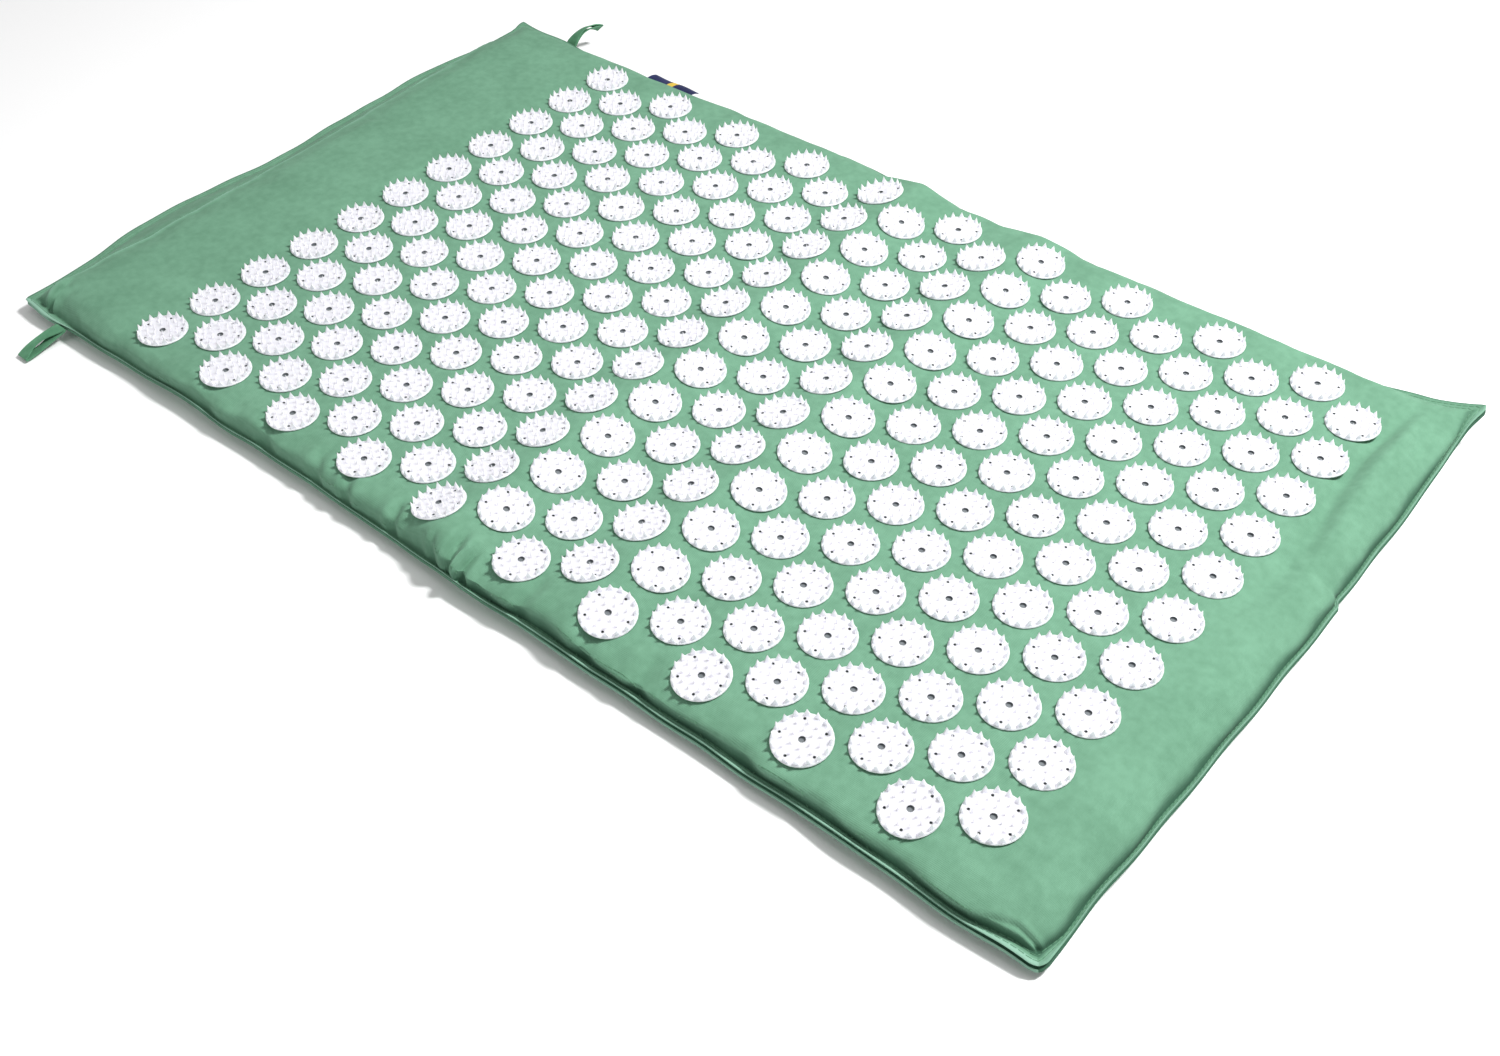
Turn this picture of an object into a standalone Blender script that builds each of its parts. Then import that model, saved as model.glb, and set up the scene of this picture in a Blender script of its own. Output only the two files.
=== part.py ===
"""Acupressure mat: a cotton cover, set with spiked plastic discs, round a foam slab.

Metres, +Z up. +X points to the foot end, +Y to the back long side, and the
origin is on the floor, under the middle of the cover's outline.
"""

import math

import bmesh
import bpy
from mathutils import Matrix, Vector
from mathutils.geometry import delaunay_2d_cdt

# Cover
MAT_LENGTH = 0.752
MAT_WIDTH = 0.444
CLOTH_THICKNESS = 0.001
LAYER_GAP = 0.0003
SEAM_HEIGHT = 0.008
FLANGE_WIDTH = 0.006

# Width of the slope from the stitch line to the flat top, on each side
HEAD_SHOULDER = 0.020
FOOT_SHOULDER = 0.025
FRONT_SHOULDER = 0.012
BACK_SHOULDER = 0.014
UNDER_SHOULDER = 0.012
OUTER_ROW_SHARES = (0, 0.2, 0.5, 1)
INNER_ROW_SHARES = (0, 0.5, 1)
EDGE_STEP = 0.030

# Outline: sides drawn in between the corners, a skewed head end with two lobes
SIDE_DRAW = 0.002
END_REACH = 0.030
HEAD_SKEW = 0.005
HEAD_LOBE = 0.012

# Corners of the back side, where the flange stands up in a small ear
EAR_REACH = 0.080
FOOT_EAR_RISE = 0.014
HEAD_EAR_RISE = 0.006

# Foam slab
FOAM_THICKNESS = 0.018
FOAM_ROUND = 0.006
FOAM_ROUND_STEPS = 3
FOAM_INSET_SHARE = 0.8

# Spiked discs, in columns across the mat, every other column one disc longer
COLUMNS = 20
DISCS_IN_LONG_COLUMN = 11
DISC_DIAMETER = 0.030
DISC_GAP = 0.008
COLUMN_GAP = 0.0006
PLATE_THICKNESS = 0.0016
SPIKE_HEIGHT = 0.0043
RIM_SPIKES = 8
FOOT_MARGIN = 0.050
FRONT_MARGIN = 0.025
BACK_MARGIN = 0.030
HEAD_MARGIN = 0.060

# Two low folds of the top panel, each between two columns of discs
FOLD_AFTER_COLUMNS = (8, 11)
FOLD_MIDDLE_SLOPES = (0.15, 0.14)
FOLD_END_SLOPES = (0.15, 0.24)
FOLD_STEPS = 7

# Hook and loop tapes that close the mouth at the head end
CLOSURE_LENGTH = 0.320
CLOSURE_WIDTH = 0.012
CLOSURE_THICKNESS = 0.0010
CLOSURE_INSET = 0.0020
CLOSURE_STEPS = 28

# Hanging loops of folded tape
HANGING_TAPE_WIDTH = 0.009
HANGING_TAPE_THICKNESS = 0.0008
HANGING_LOOP_LENGTH = 0.029
HANGING_LOOP_GAP = 0.0056
HANGING_LOOP_LEAN = 1.3
HANGING_LOOP_STEPS = 12
FRONT_LOOP_FROM_HEAD = 0.051
FRONT_LOOP_BEND = (math.radians(-7), math.radians(-16))
BACK_LOOP_FROM_HEAD = 0.047
BACK_LOOP_BEND = (math.radians(85), math.radians(-50))

# Side tag
TAG_FROM_HEAD = 0.144
TAG_WIDTH = 0.042
TAG_DEPTH = 0.010
TAG_THICKNESS = 0.0006
TAG_LIFT = math.radians(8)

HALF_LENGTH = MAT_LENGTH / 2
HALF_WIDTH = MAT_WIDTH / 2
LINING = CLOTH_THICKNESS + LAYER_GAP
CROWN_HEIGHT = FOAM_THICKNESS + 2 * LINING
DISC_PITCH = DISC_DIAMETER + DISC_GAP
COLUMN_PITCH = DISC_DIAMETER + COLUMN_GAP
SIDE_REACH = FRONT_MARGIN - DISC_DIAMETER / 2
FRONT_LOOP_X = FRONT_LOOP_FROM_HEAD - HALF_LENGTH
BACK_LOOP_X = BACK_LOOP_FROM_HEAD - HALF_LENGTH
TAG_X = TAG_FROM_HEAD - HALF_LENGTH
MERGE_DISTANCE = 0.00001


def clear_scene():
    for item in list(bpy.data.objects):
        bpy.data.objects.remove(item, do_unlink=True)


def make_material(name, colour, roughness):
    material = bpy.data.materials.new(name)
    material.use_nodes = True
    shader = material.node_tree.nodes["Principled BSDF"]
    shader.inputs["Base Color"].default_value = (*colour, 1)
    shader.inputs["Roughness"].default_value = roughness
    shader.inputs["Metallic"].default_value = 0
    return material


def make_object(name, mesh, collection, materials):
    item = bpy.data.objects.new(name, mesh)
    collection.objects.link(item)
    for material in materials:
        mesh.materials.append(material)
    return item


def mesh_from(name, bm):
    mesh = bpy.data.meshes.new(name)
    bm.to_mesh(mesh)
    bm.free()
    return mesh


def rise_share(depth, shoulder):
    """How far a slope has risen at this depth from the edge: 0 at the stitch line, 1 on the flat."""
    share = min(max((depth - FLANGE_WIDTH) / shoulder, 0), 1)
    return math.sqrt(1 - (1 - share) ** 2)


def top_swell_share(x, y):
    """Swell of the top panel, which has a slope of its own width on each side."""
    end_shoulder = FOOT_SHOULDER if x > 0 else HEAD_SHOULDER
    side_shoulder = BACK_SHOULDER if y > 0 else FRONT_SHOULDER
    end_share = rise_share(HALF_LENGTH - abs(x), end_shoulder)
    return end_share * rise_share(HALF_WIDTH - abs(y), side_shoulder)


def under_swell_share(x, y):
    """Swell of the bottom panel, which turns under alike all round."""
    end_share = rise_share(HALF_LENGTH - abs(x), UNDER_SHOULDER)
    return end_share * rise_share(HALF_WIDTH - abs(y), UNDER_SHOULDER)


def ear_rise(x, y, corner_x, rise):
    distance = math.dist((x, y), (corner_x, HALF_WIDTH))
    return rise * max(0, 1 - distance / EAR_REACH) ** 2


def seam_height(x, y):
    """Height of the plane where the two panels meet, which rises to an ear at the back corners."""
    foot_ear = ear_rise(x, y, HALF_LENGTH, FOOT_EAR_RISE)
    head_ear = ear_rise(x, y, -HALF_LENGTH, HEAD_EAR_RISE)
    return SEAM_HEIGHT + foot_ear + head_ear


def fold_places():
    """Place along the mat of each fold, with its slopes halfway across and at the long sides."""
    first_column = HALF_LENGTH - FOOT_MARGIN
    for column, middle, end in zip(FOLD_AFTER_COLUMNS, FOLD_MIDDLE_SLOPES, FOLD_END_SLOPES):
        yield first_column - (column - 0.5) * COLUMN_PITCH, middle, end


def fold_height(x, y):
    """Height of the folds, whose flanks are flat because the discs keep the cloth flat."""
    height = 0
    for place, middle, end in fold_places():
        slope = middle + (end - middle) * (y / HALF_WIDTH) ** 2
        height += slope * max(0, COLUMN_PITCH - abs(x - place))
    return height


def top_lining_height(x, y):
    """Inner face of the top panel."""
    seam = seam_height(x, y) + LAYER_GAP / 2
    crown = CROWN_HEIGHT - CLOTH_THICKNESS + fold_height(x, y)
    return seam + (crown - seam) * top_swell_share(x, y)


def top_face_height(x, y):
    """Outer face of the top panel."""
    return top_lining_height(x, y) + CLOTH_THICKNESS


def under_face_height(x, y):
    """Outer face of the bottom panel, which lies on the floor."""
    seam = seam_height(x, y) - LAYER_GAP / 2 - CLOTH_THICKNESS
    return seam * (1 - under_swell_share(x, y))


def under_lining_height(x, y):
    """Inner face of the bottom panel."""
    return under_face_height(x, y) + CLOTH_THICKNESS


def shaped(x, y):
    """Plan point moved with the drawn-in sides and the lobes of the head end."""
    along_share = x / HALF_LENGTH
    across_share = y / HALF_WIDTH
    side_share = max(0, 1 - (HALF_WIDTH - abs(y)) / SIDE_REACH)
    end_share = max(0, 1 - (HALF_LENGTH - abs(x)) / END_REACH)
    moved_y = y - math.copysign(SIDE_DRAW * (1 - along_share**2) * side_share, y)
    if x > 0:
        return x - SIDE_DRAW * (1 - across_share**2) * end_share, moved_y
    lobe = HEAD_LOBE * math.sin(math.pi * across_share) ** 2
    return x - (HEAD_SKEW * across_share + lobe) * end_share, moved_y


def border_loop(head, foot, front, back):
    """Plan points round a rectangle that is set in by its own depth from each side."""
    corners = [
        (head - HALF_LENGTH, front - HALF_WIDTH),
        (HALF_LENGTH - foot, front - HALF_WIDTH),
        (HALF_LENGTH - foot, HALF_WIDTH - back),
        (head - HALF_LENGTH, HALF_WIDTH - back),
    ]
    side_steps = (round(MAT_LENGTH / EDGE_STEP), round(MAT_WIDTH / EDGE_STEP)) * 2
    points = []
    for start, end, steps in zip(corners, corners[1:] + corners[:1], side_steps):
        for step in range(steps):
            points.append(Vector(start).lerp(Vector(end), step / steps))
    return points


def shoulder_loop(share):
    """Plan points where the top panel's slope has run this share of its width."""
    shoulders = (HEAD_SHOULDER, FOOT_SHOULDER, FRONT_SHOULDER, BACK_SHOULDER)
    return border_loop(*(FLANGE_WIDTH + share * shoulder for shoulder in shoulders))


def triangulate_plan(points, edges, outline, holes):
    """Delaunay triangles inside the outline and outside the holes, as indices of the points."""
    result = delaunay_2d_cdt(points, edges, [outline, *holes], 1, 0)
    _, _, triangles, sources, _, owners = result
    kept = [triangle for triangle, owner in zip(triangles, owners) if owner == [0]]
    return [[sources[corner][0] for corner in triangle] for triangle in kept]


def add_surface(bm, points, heights, triangles):
    verts = [bm.verts.new((*shaped(*point), height)) for point, height in zip(points, heights)]
    for triangle in triangles:
        bm.faces.new([verts[corner] for corner in triangle])
    return verts


def add_edge_wall(bm, outer, inner, count):
    """Strip along the raw edge, between the first points of the two surfaces."""
    for step in range(count):
        following = (step + 1) % count
        bm.faces.new((outer[step], outer[following], inner[following], inner[step]))


def disc_places():
    """Plan points of the disc centres, as many as the cover has room for."""
    room_along = MAT_LENGTH - FOOT_MARGIN - HEAD_MARGIN
    room_across = MAT_WIDTH - FRONT_MARGIN - BACK_MARGIN
    columns = min(COLUMNS, math.floor(room_along / COLUMN_PITCH) + 1)
    long_column = min(DISCS_IN_LONG_COLUMN, math.floor(room_across / DISC_PITCH) + 1)
    places = []
    for column in range(columns):
        x = HALF_LENGTH - FOOT_MARGIN - column * COLUMN_PITCH
        short = column % 2 == 0
        start = FRONT_MARGIN - HALF_WIDTH + (DISC_PITCH / 2 if short else 0)
        for disc in range(long_column - 1 if short else long_column):
            places.append((x, start + disc * DISC_PITCH))
    return places


def disc_matrix(x, y):
    """Seat of a disc: on the cloth, square to the slope under its own width."""
    reach = DISC_DIAMETER / 2
    slope_along = (fold_height(x + reach, y) - fold_height(x - reach, y)) / DISC_DIAMETER
    slope_across = (fold_height(x, y + reach) - fold_height(x, y - reach)) / DISC_DIAMETER
    normal = Vector((-slope_along, -slope_across, 1)).normalized()
    turn = Vector((0, 0, 1)).rotation_difference(normal)
    seat = Vector((x, y, CROWN_HEIGHT + fold_height(x, y)))
    return Matrix.Translation(seat) @ turn.to_matrix().to_4x4()


def make_disc_mesh():
    """One disc, open underneath: a plate whose rim stands up in spikes."""
    bm = bmesh.new()
    bmesh.ops.create_circle(bm, segments=RIM_SPIKES, radius=DISC_DIAMETER / 2)
    bmesh.ops.extrude_edge_only(bm, edges=bm.edges[:])
    tips = bm.verts[RIM_SPIKES:]
    bmesh.ops.translate(bm, verts=tips, vec=(0, 0, PLATE_THICKNESS + SPIKE_HEIGHT))
    rim = [edge for edge in bm.edges if all(vert.co.z > 0 for vert in edge.verts)]
    bmesh.ops.subdivide_edges(bm, edges=rim, cuts=1)
    for valley in bm.verts[2 * RIM_SPIKES :]:
        valley.co.z = PLATE_THICKNESS
    rim = [edge for edge in bm.edges if all(vert.co.z > 0 for vert in edge.verts)]
    plate = bmesh.ops.contextual_create(bm, geom=rim)["faces"]
    centre = bmesh.ops.poke(bm, faces=plate)["verts"][0]
    centre.co.z = PLATE_THICKNESS
    bmesh.ops.triangulate(bm, faces=bm.faces[:])
    return mesh_from("spiked_disc", bm)


def clear_of_discs(point, places):
    reach = DISC_DIAMETER / 2 + CLOTH_THICKNESS
    return all(math.dist(point, place) > reach for place in places)


def make_top_panel(collection, cotton, plastic):
    """The cloth with its discs, which are sealed to it and can't be lifted off."""
    places = disc_places()
    disc_mesh = make_disc_mesh()
    rim = [vert.co for vert in disc_mesh.vertices if vert.co.z == 0]
    outline = border_loop(0, 0, 0, 0)
    edge_count = len(outline)

    points = list(outline)
    for share in OUTER_ROW_SHARES:
        points += [point for point in shoulder_loop(share) if clear_of_discs(point, places)]
    heights = [top_face_height(*point) for point in points]
    holes = []
    for place in places:
        seat = disc_matrix(*place)
        ring = [seat @ corner for corner in rim]
        holes.append(list(range(len(points), len(points) + len(ring))))
        points += [corner.to_2d() for corner in ring]
        heights += [corner.z for corner in ring]

    bm = bmesh.new()
    outer_faces = triangulate_plan(points, [], list(range(edge_count)), holes)
    outer = add_surface(bm, points, heights, outer_faces)

    lining = list(outline)
    for share in INNER_ROW_SHARES:
        lining += shoulder_loop(share)
    creases = []
    front = FRONT_SHOULDER + FLANGE_WIDTH - HALF_WIDTH
    back = HALF_WIDTH - BACK_SHOULDER - FLANGE_WIDTH
    for place, _, _ in fold_places():
        for x in (place - COLUMN_PITCH, place, place + COLUMN_PITCH):
            first = len(lining)
            for step in range(1, FOLD_STEPS):
                lining.append(Vector((x, front + (back - front) * step / FOLD_STEPS)))
            creases += [(point, point + 1) for point in range(first, len(lining) - 1)]
    inner_heights = [top_lining_height(*point) for point in lining]
    inner_faces = triangulate_plan(lining, creases, list(range(edge_count)), [])
    inner = add_surface(bm, lining, inner_heights, inner_faces)
    add_edge_wall(bm, outer, inner, edge_count)

    cloth_faces = len(bm.faces)
    for place in places:
        first = len(bm.verts)
        bm.from_mesh(disc_mesh)
        bm.verts.ensure_lookup_table()
        bmesh.ops.transform(bm, matrix=disc_matrix(*place), verts=bm.verts[first:])
    bm.faces.ensure_lookup_table()
    for face in bm.faces[cloth_faces:]:
        face.material_index = 1
    bmesh.ops.remove_doubles(bm, verts=bm.verts[:], dist=MERGE_DISTANCE)
    bmesh.ops.recalc_face_normals(bm, faces=bm.faces[:])
    bpy.data.meshes.remove(disc_mesh)
    return make_object("top_panel", mesh_from("top_panel", bm), collection, [cotton, plastic])


def make_bottom_panel(collection, cotton):
    """The cloth that lies on the floor and turns up to the seam."""
    points = border_loop(0, 0, 0, 0)
    edge_count = len(points)
    for share in OUTER_ROW_SHARES:
        points += border_loop(*[FLANGE_WIDTH + share * UNDER_SHOULDER] * 4)
    triangles = triangulate_plan(points, [], list(range(edge_count)), [])
    bm = bmesh.new()
    outer = add_surface(bm, points, [under_face_height(*point) for point in points], triangles)
    inner = add_surface(bm, points, [under_lining_height(*point) for point in points], triangles)
    add_edge_wall(bm, outer, inner, edge_count)
    bmesh.ops.recalc_face_normals(bm, faces=bm.faces[:])
    return make_object("bottom_panel", mesh_from("bottom_panel", bm), collection, [cotton])


def make_foam_core(collection, foam):
    """Cut slab that fills the cover up to its slopes, with its edges pressed round."""
    left = FLANGE_WIDTH + FOAM_INSET_SHARE * HEAD_SHOULDER - HALF_LENGTH
    right = HALF_LENGTH - FLANGE_WIDTH - FOAM_INSET_SHARE * FOOT_SHOULDER
    front = FLANGE_WIDTH + FOAM_INSET_SHARE * FRONT_SHOULDER - HALF_WIDTH
    back = HALF_WIDTH - FLANGE_WIDTH - FOAM_INSET_SHARE * BACK_SHOULDER
    bm = bmesh.new()
    slab = bmesh.ops.create_cube(bm, size=1)["verts"]
    bmesh.ops.scale(bm, verts=slab, vec=(right - left, back - front, FOAM_THICKNESS))
    item = make_object("foam_core", mesh_from("foam_core", bm), collection, [foam])
    item.location = ((left + right) / 2, (front + back) / 2, LINING + FOAM_THICKNESS / 2)
    rounding = item.modifiers.new("pressed edges", "BEVEL")
    rounding.width = FOAM_ROUND
    rounding.segments = FOAM_ROUND_STEPS
    rounding.limit_method = "NONE"
    item.data.shade_smooth()
    item.data.set_sharp_from_angle(angle=math.radians(60))
    return item


def make_closure_tape(name, collection, material, face_height):
    """Tape along the mouth, just inside the seam of the head end and bent with it."""
    bm = bmesh.new()
    bmesh.ops.create_grid(bm, x_segments=2, y_segments=CLOSURE_STEPS, size=0.5)
    for vert in bm.verts:
        depth = FLANGE_WIDTH + CLOSURE_INSET + CLOSURE_WIDTH * (vert.co.x + 0.5)
        x, y = shaped(depth - HALF_LENGTH, CLOSURE_LENGTH * vert.co.y)
        vert.co = (x, y, face_height)
    item = make_object(name, mesh_from(name, bm), collection, [material])
    tape = item.modifiers.new("tape", "SOLIDIFY")
    tape.thickness = CLOSURE_THICKNESS
    tape.offset = 0
    return item


def loop_line(bend, share):
    """Point and heading on the middle line of a hanging loop, which bends evenly to its tip."""
    start, end = bend
    heading = start + (end - start) * share
    radius = HANGING_LOOP_LENGTH / (end - start)
    out = radius * (math.sin(heading) - math.sin(start))
    up = radius * (math.cos(start) - math.cos(heading))
    return Vector((out, up)), heading


def loop_outline(bend, margin, shares):
    """Closed outline at this margin from the gap between the two layers of a loop."""
    sides = ([], [])
    for share in shares:
        point, heading = loop_line(bend, share)
        gap = HANGING_LOOP_GAP / 2 * math.sin(math.pi * share**HANGING_LOOP_LEAN) + margin
        across = Vector((-math.sin(heading), math.cos(heading))) * gap
        sides[0].append(point + across)
        sides[1].append(point - across)
    return sides[0] + sides[1][::-1]


def rounded_end(bend, share, turn):
    """Half circle round an end of the middle line, from one side to the other."""
    point, heading = loop_line(bend, share)
    steps = HANGING_LOOP_STEPS // 2
    angles = [heading + turn - math.pi * step / steps for step in range(1, steps)]
    return [
        point + Vector((math.cos(angle), math.sin(angle))) * HANGING_TAPE_THICKNESS
        for angle in angles
    ]


def add_outline(curve, points):
    spline = curve.splines.new("POLY")
    spline.points.add(len(points) - 1)
    for place, point in zip(spline.points, points):
        place.co = (*point, 0, 1)
    spline.use_cyclic_u = True


def make_hanging_loop(name, collection, tape, x, side, bend):
    """Folded tape with both ends in the seam. Its origin is on the line it swings about."""
    shares = [step / HANGING_LOOP_STEPS for step in range(HANGING_LOOP_STEPS + 1)]
    outline = loop_outline(bend, HANGING_TAPE_THICKNESS, shares)
    half = len(shares)
    tip = rounded_end(bend, 1, math.pi / 2)
    root = rounded_end(bend, 0, -math.pi / 2)
    curve = bpy.data.curves.new(name, "CURVE")
    curve.dimensions = "2D"
    curve.fill_mode = "BOTH"
    curve.extrude = HANGING_TAPE_WIDTH / 2
    add_outline(curve, outline[:half] + tip + outline[half:] + root)
    add_outline(curve, loop_outline(bend, 0, shares[1:-1]))
    item = make_object(name, curve, collection, [tape])
    edge = side * HALF_WIDTH
    _, edge_y = shaped(x, edge)
    root_y = edge_y + side * (HANGING_TAPE_THICKNESS + LAYER_GAP)
    outward = Vector((0, side, 0))
    upward = Vector((0, 0, 1))
    facing = Matrix((outward, upward, outward.cross(upward))).transposed().to_4x4()
    item.matrix_world = Matrix.Translation((x, root_y, seam_height(x, edge))) @ facing
    return item


def make_side_tag(collection, woven):
    """Folded woven tag in the back seam. Its origin is on the line it swings about."""
    bm = bmesh.new()
    tag = bmesh.ops.create_cube(bm, size=1)["verts"]
    bmesh.ops.scale(bm, verts=tag, vec=(TAG_WIDTH, TAG_DEPTH, TAG_THICKNESS))
    bmesh.ops.translate(bm, verts=tag, vec=(0, TAG_DEPTH / 2, 0))
    item = make_object("side_tag", mesh_from("side_tag", bm), collection, [woven])
    _, edge_y = shaped(TAG_X, HALF_WIDTH)
    root_y = edge_y + TAG_THICKNESS / 2 + LAYER_GAP
    item.location = (TAG_X, root_y, seam_height(TAG_X, HALF_WIDTH))
    item.rotation_euler.x = TAG_LIFT
    return item


def main():
    clear_scene()
    collection = bpy.data.collections.new("acupressure_mat")
    bpy.context.scene.collection.children.link(collection)
    cotton = make_material("green_cotton", (0.14, 0.36, 0.2), 0.9)
    plastic = make_material("white_plastic", (0.93, 0.92, 0.96), 0.35)
    foam = make_material("foam", (0.85, 0.82, 0.72), 0.95)
    closure = make_material("closure_tape", (0.12, 0.3, 0.18), 0.9)
    tape = make_material("green_tape", (0.1, 0.28, 0.16), 0.85)
    woven = make_material("navy_tag", (0.01, 0.015, 0.06), 0.8)

    make_top_panel(collection, cotton, plastic)
    make_bottom_panel(collection, cotton)
    make_foam_core(collection, foam)
    apart = (CLOSURE_THICKNESS + LAYER_GAP) / 2
    make_closure_tape("hook_tape", collection, closure, SEAM_HEIGHT - apart)
    make_closure_tape("loop_tape", collection, closure, SEAM_HEIGHT + apart)
    make_hanging_loop("hanging_loop_front", collection, tape, FRONT_LOOP_X, -1, FRONT_LOOP_BEND)
    make_hanging_loop("hanging_loop_back", collection, tape, BACK_LOOP_X, 1, BACK_LOOP_BEND)
    make_side_tag(collection, woven)


main()
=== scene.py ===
import math
import random

import bpy
import numpy as np
from mathutils import Matrix, Vector
from mathutils import noise as perlin
from mathutils.bvhtree import BVHTree


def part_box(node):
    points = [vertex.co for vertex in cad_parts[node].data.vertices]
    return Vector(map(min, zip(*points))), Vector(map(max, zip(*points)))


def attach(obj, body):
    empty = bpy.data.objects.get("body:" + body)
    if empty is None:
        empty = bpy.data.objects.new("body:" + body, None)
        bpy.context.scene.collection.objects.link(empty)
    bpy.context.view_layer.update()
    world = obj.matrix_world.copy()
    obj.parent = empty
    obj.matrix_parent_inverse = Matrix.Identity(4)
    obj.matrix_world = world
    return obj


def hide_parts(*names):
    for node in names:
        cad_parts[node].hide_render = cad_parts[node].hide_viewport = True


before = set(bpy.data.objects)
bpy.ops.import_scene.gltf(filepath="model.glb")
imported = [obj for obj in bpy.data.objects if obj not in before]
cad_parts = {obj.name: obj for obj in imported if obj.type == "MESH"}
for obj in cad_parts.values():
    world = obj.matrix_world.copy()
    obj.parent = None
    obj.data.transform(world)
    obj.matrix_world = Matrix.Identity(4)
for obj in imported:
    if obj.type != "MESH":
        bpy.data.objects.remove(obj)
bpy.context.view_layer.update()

# View and room: the mat lies on a plain white studio floor, seen from above its
# near foot corner. A lamp high at the back right puts the short shadows beside the
# discs. A wide softbox overhead, a card in front and a white room soften them.

CAMERA_PLACE = (0.5464, -0.5794, 0.6230)
CAMERA_RIGHT = Vector((0.76042522, 0.64906941, -0.02150297))
CAMERA_DOWN = Vector((0.43525092, -0.53393839, -0.72489064))
CAMERA_FORWARD = Vector((-0.4819856, 0.54186593, -0.68852828))
CAMERA_LENS = 40.74
SENSOR_WIDTH = 36
FLOOR_SIZE = 8.0
FLOOR_DROP = 0.0002
FLOOR_WHITE = (0.93, 0.93, 0.93)
ROOM_STRENGTH = 0.26

bpy.context.scene.view_settings.view_transform = "Standard"
camera_data = bpy.data.cameras.new("camera")
camera_data.lens = CAMERA_LENS
camera_data.sensor_width = SENSOR_WIDTH
camera = bpy.data.objects.new("camera", camera_data)
turn = Matrix((CAMERA_RIGHT, -CAMERA_DOWN, -CAMERA_FORWARD)).transposed()
camera.matrix_world = Matrix.Translation(CAMERA_PLACE) @ turn.to_4x4()
bpy.context.scene.collection.objects.link(camera)
bpy.context.scene.camera = camera

world = bpy.data.worlds.new("white_room")
world.use_nodes = True
world.node_tree.nodes["Background"].inputs["Color"].default_value = (1, 1, 1, 1)
world.node_tree.nodes["Background"].inputs["Strength"].default_value = ROOM_STRENGTH
bpy.context.scene.world = world


def add_lamp(name, place, target, size, power):
    """Round lamp that shines from its place on its target, with its power in watts."""
    lamp_data = bpy.data.lights.new(name, "AREA")
    lamp_data.shape = "DISK"
    lamp_data.size = size
    lamp_data.energy = power
    lamp = bpy.data.objects.new(name, lamp_data)
    aim = (Vector(target) - Vector(place)).to_track_quat("-Z", "Y")
    lamp.matrix_world = Matrix.Translation(place) @ aim.to_matrix().to_4x4()
    bpy.context.scene.collection.objects.link(lamp)


add_lamp("side_lamp", (0.80, 0.62, 1.55), (0.1, 0, 0), 0.35, 47)
add_lamp("overhead_softbox", (0.30, 0.00, 1.90), (0, 0, 0), 1.5, 7)
add_lamp("front_card", (-0.30, -1.60, 0.70), (0, 0, 0), 1.2, 6)


def new_material(name, colour, roughness):
    """Material with its shader and node tree, in the finish that each piece then works up."""
    material = bpy.data.materials.new(name)
    material.use_nodes = True
    shader = material.node_tree.nodes["Principled BSDF"]
    shader.inputs["Base Color"].default_value = (*colour, 1)
    shader.inputs["Roughness"].default_value = roughness
    return material, shader


bpy.ops.object.select_all(action="DESELECT")
bpy.ops.mesh.primitive_plane_add(size=FLOOR_SIZE, location=(0, 0, -FLOOR_DROP))
floor = bpy.context.object
floor.name = "studio_floor"
floor_material, _ = new_material("white_floor", FLOOR_WHITE, 0.5)
floor.data.materials.append(floor_material)

# Bottom panel: plain woven cotton under the slab. It lies flat on the floor, turns
# up round the slab's edge, and is sewn to the top panel in a narrow flange all round.

MAT_LENGTH = 0.752
MAT_WIDTH = 0.444
HALF_LENGTH = MAT_LENGTH / 2
HALF_WIDTH = MAT_WIDTH / 2
CLOTH = 0.0008
LAYER_GAP = 0.0003
SEAM_HEIGHT = 0.008
FLANGE = 0.006
UNDER_SHOULDER = 0.012
SIDE_REACH = 0.020
END_REACH = 0.032
FRONT_EDGE = (
    (-0.376, 0.2250), (-0.34, 0.2256), (-0.30, 0.2236), (-0.26, 0.2224), (-0.22, 0.2212),
    (-0.16, 0.2211), (-0.12, 0.2198), (-0.06, 0.2200), (-0.03, 0.2206), (0.00, 0.2208),
    (0.015, 0.2222), (0.022, 0.2238), (0.04, 0.2232), (0.06, 0.2218), (0.10, 0.2208),
    (0.12, 0.2218), (0.16, 0.2205), (0.24, 0.2206), (0.30, 0.2220), (0.34, 0.2228), (0.376, 0.2210),
)
BACK_EDGE = (
    (-0.376, 0.2170), (-0.345, 0.2190), (-0.329, 0.2195), (-0.30, 0.2185), (-0.24, 0.2200),
    (-0.18, 0.2208), (-0.12, 0.2232), (-0.06, 0.2230), (0.00, 0.2216), (0.03, 0.2208),
    (0.20, 0.2206), (0.27, 0.2196), (0.33, 0.2200), (0.376, 0.2215),
)
FOOT_EDGE = (
    (-0.222, 0.3808), (-0.195, 0.3793), (-0.175, 0.3794), (-0.135, 0.3802), (-0.06, 0.3804),
    (0.046, 0.3800), (0.085, 0.3798), (0.125, 0.3788), (0.145, 0.3784), (0.165, 0.3770),
    (0.185, 0.3762), (0.205, 0.3768), (0.222, 0.3800),
)
HEAD_EDGE = (
    (-0.222, 0.3672), (-0.19, 0.3695), (-0.15, 0.3777), (-0.13, 0.3807), (-0.09, 0.3832),
    (-0.06, 0.3797), (-0.03, 0.3773), (-0.01, 0.3787), (0.02, 0.3807), (0.06, 0.3842),
    (0.10, 0.3866), (0.13, 0.3876), (0.16, 0.3845), (0.19, 0.3778), (0.205, 0.3765), (0.222, 0.3790),
)
EAR_REACH = 0.080
FOOT_EAR_RISE = 0.012
HEAD_EAR_RISE = 0.006
CORNER_ROUNDS = ((1, -1, 0.007), (-1, -1, 0.004), (-1, 1, 0.003), (1, 1, 0.0045))
CORNER_DROOP = 0.0035
CORNER_REACH = 0.055
CROWN_DROOP = 0.25
EAR_TIP_RISE = 0.004
EAR_TIP_REACH = 0.028
EDGE_SWAY = 0.0011
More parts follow.
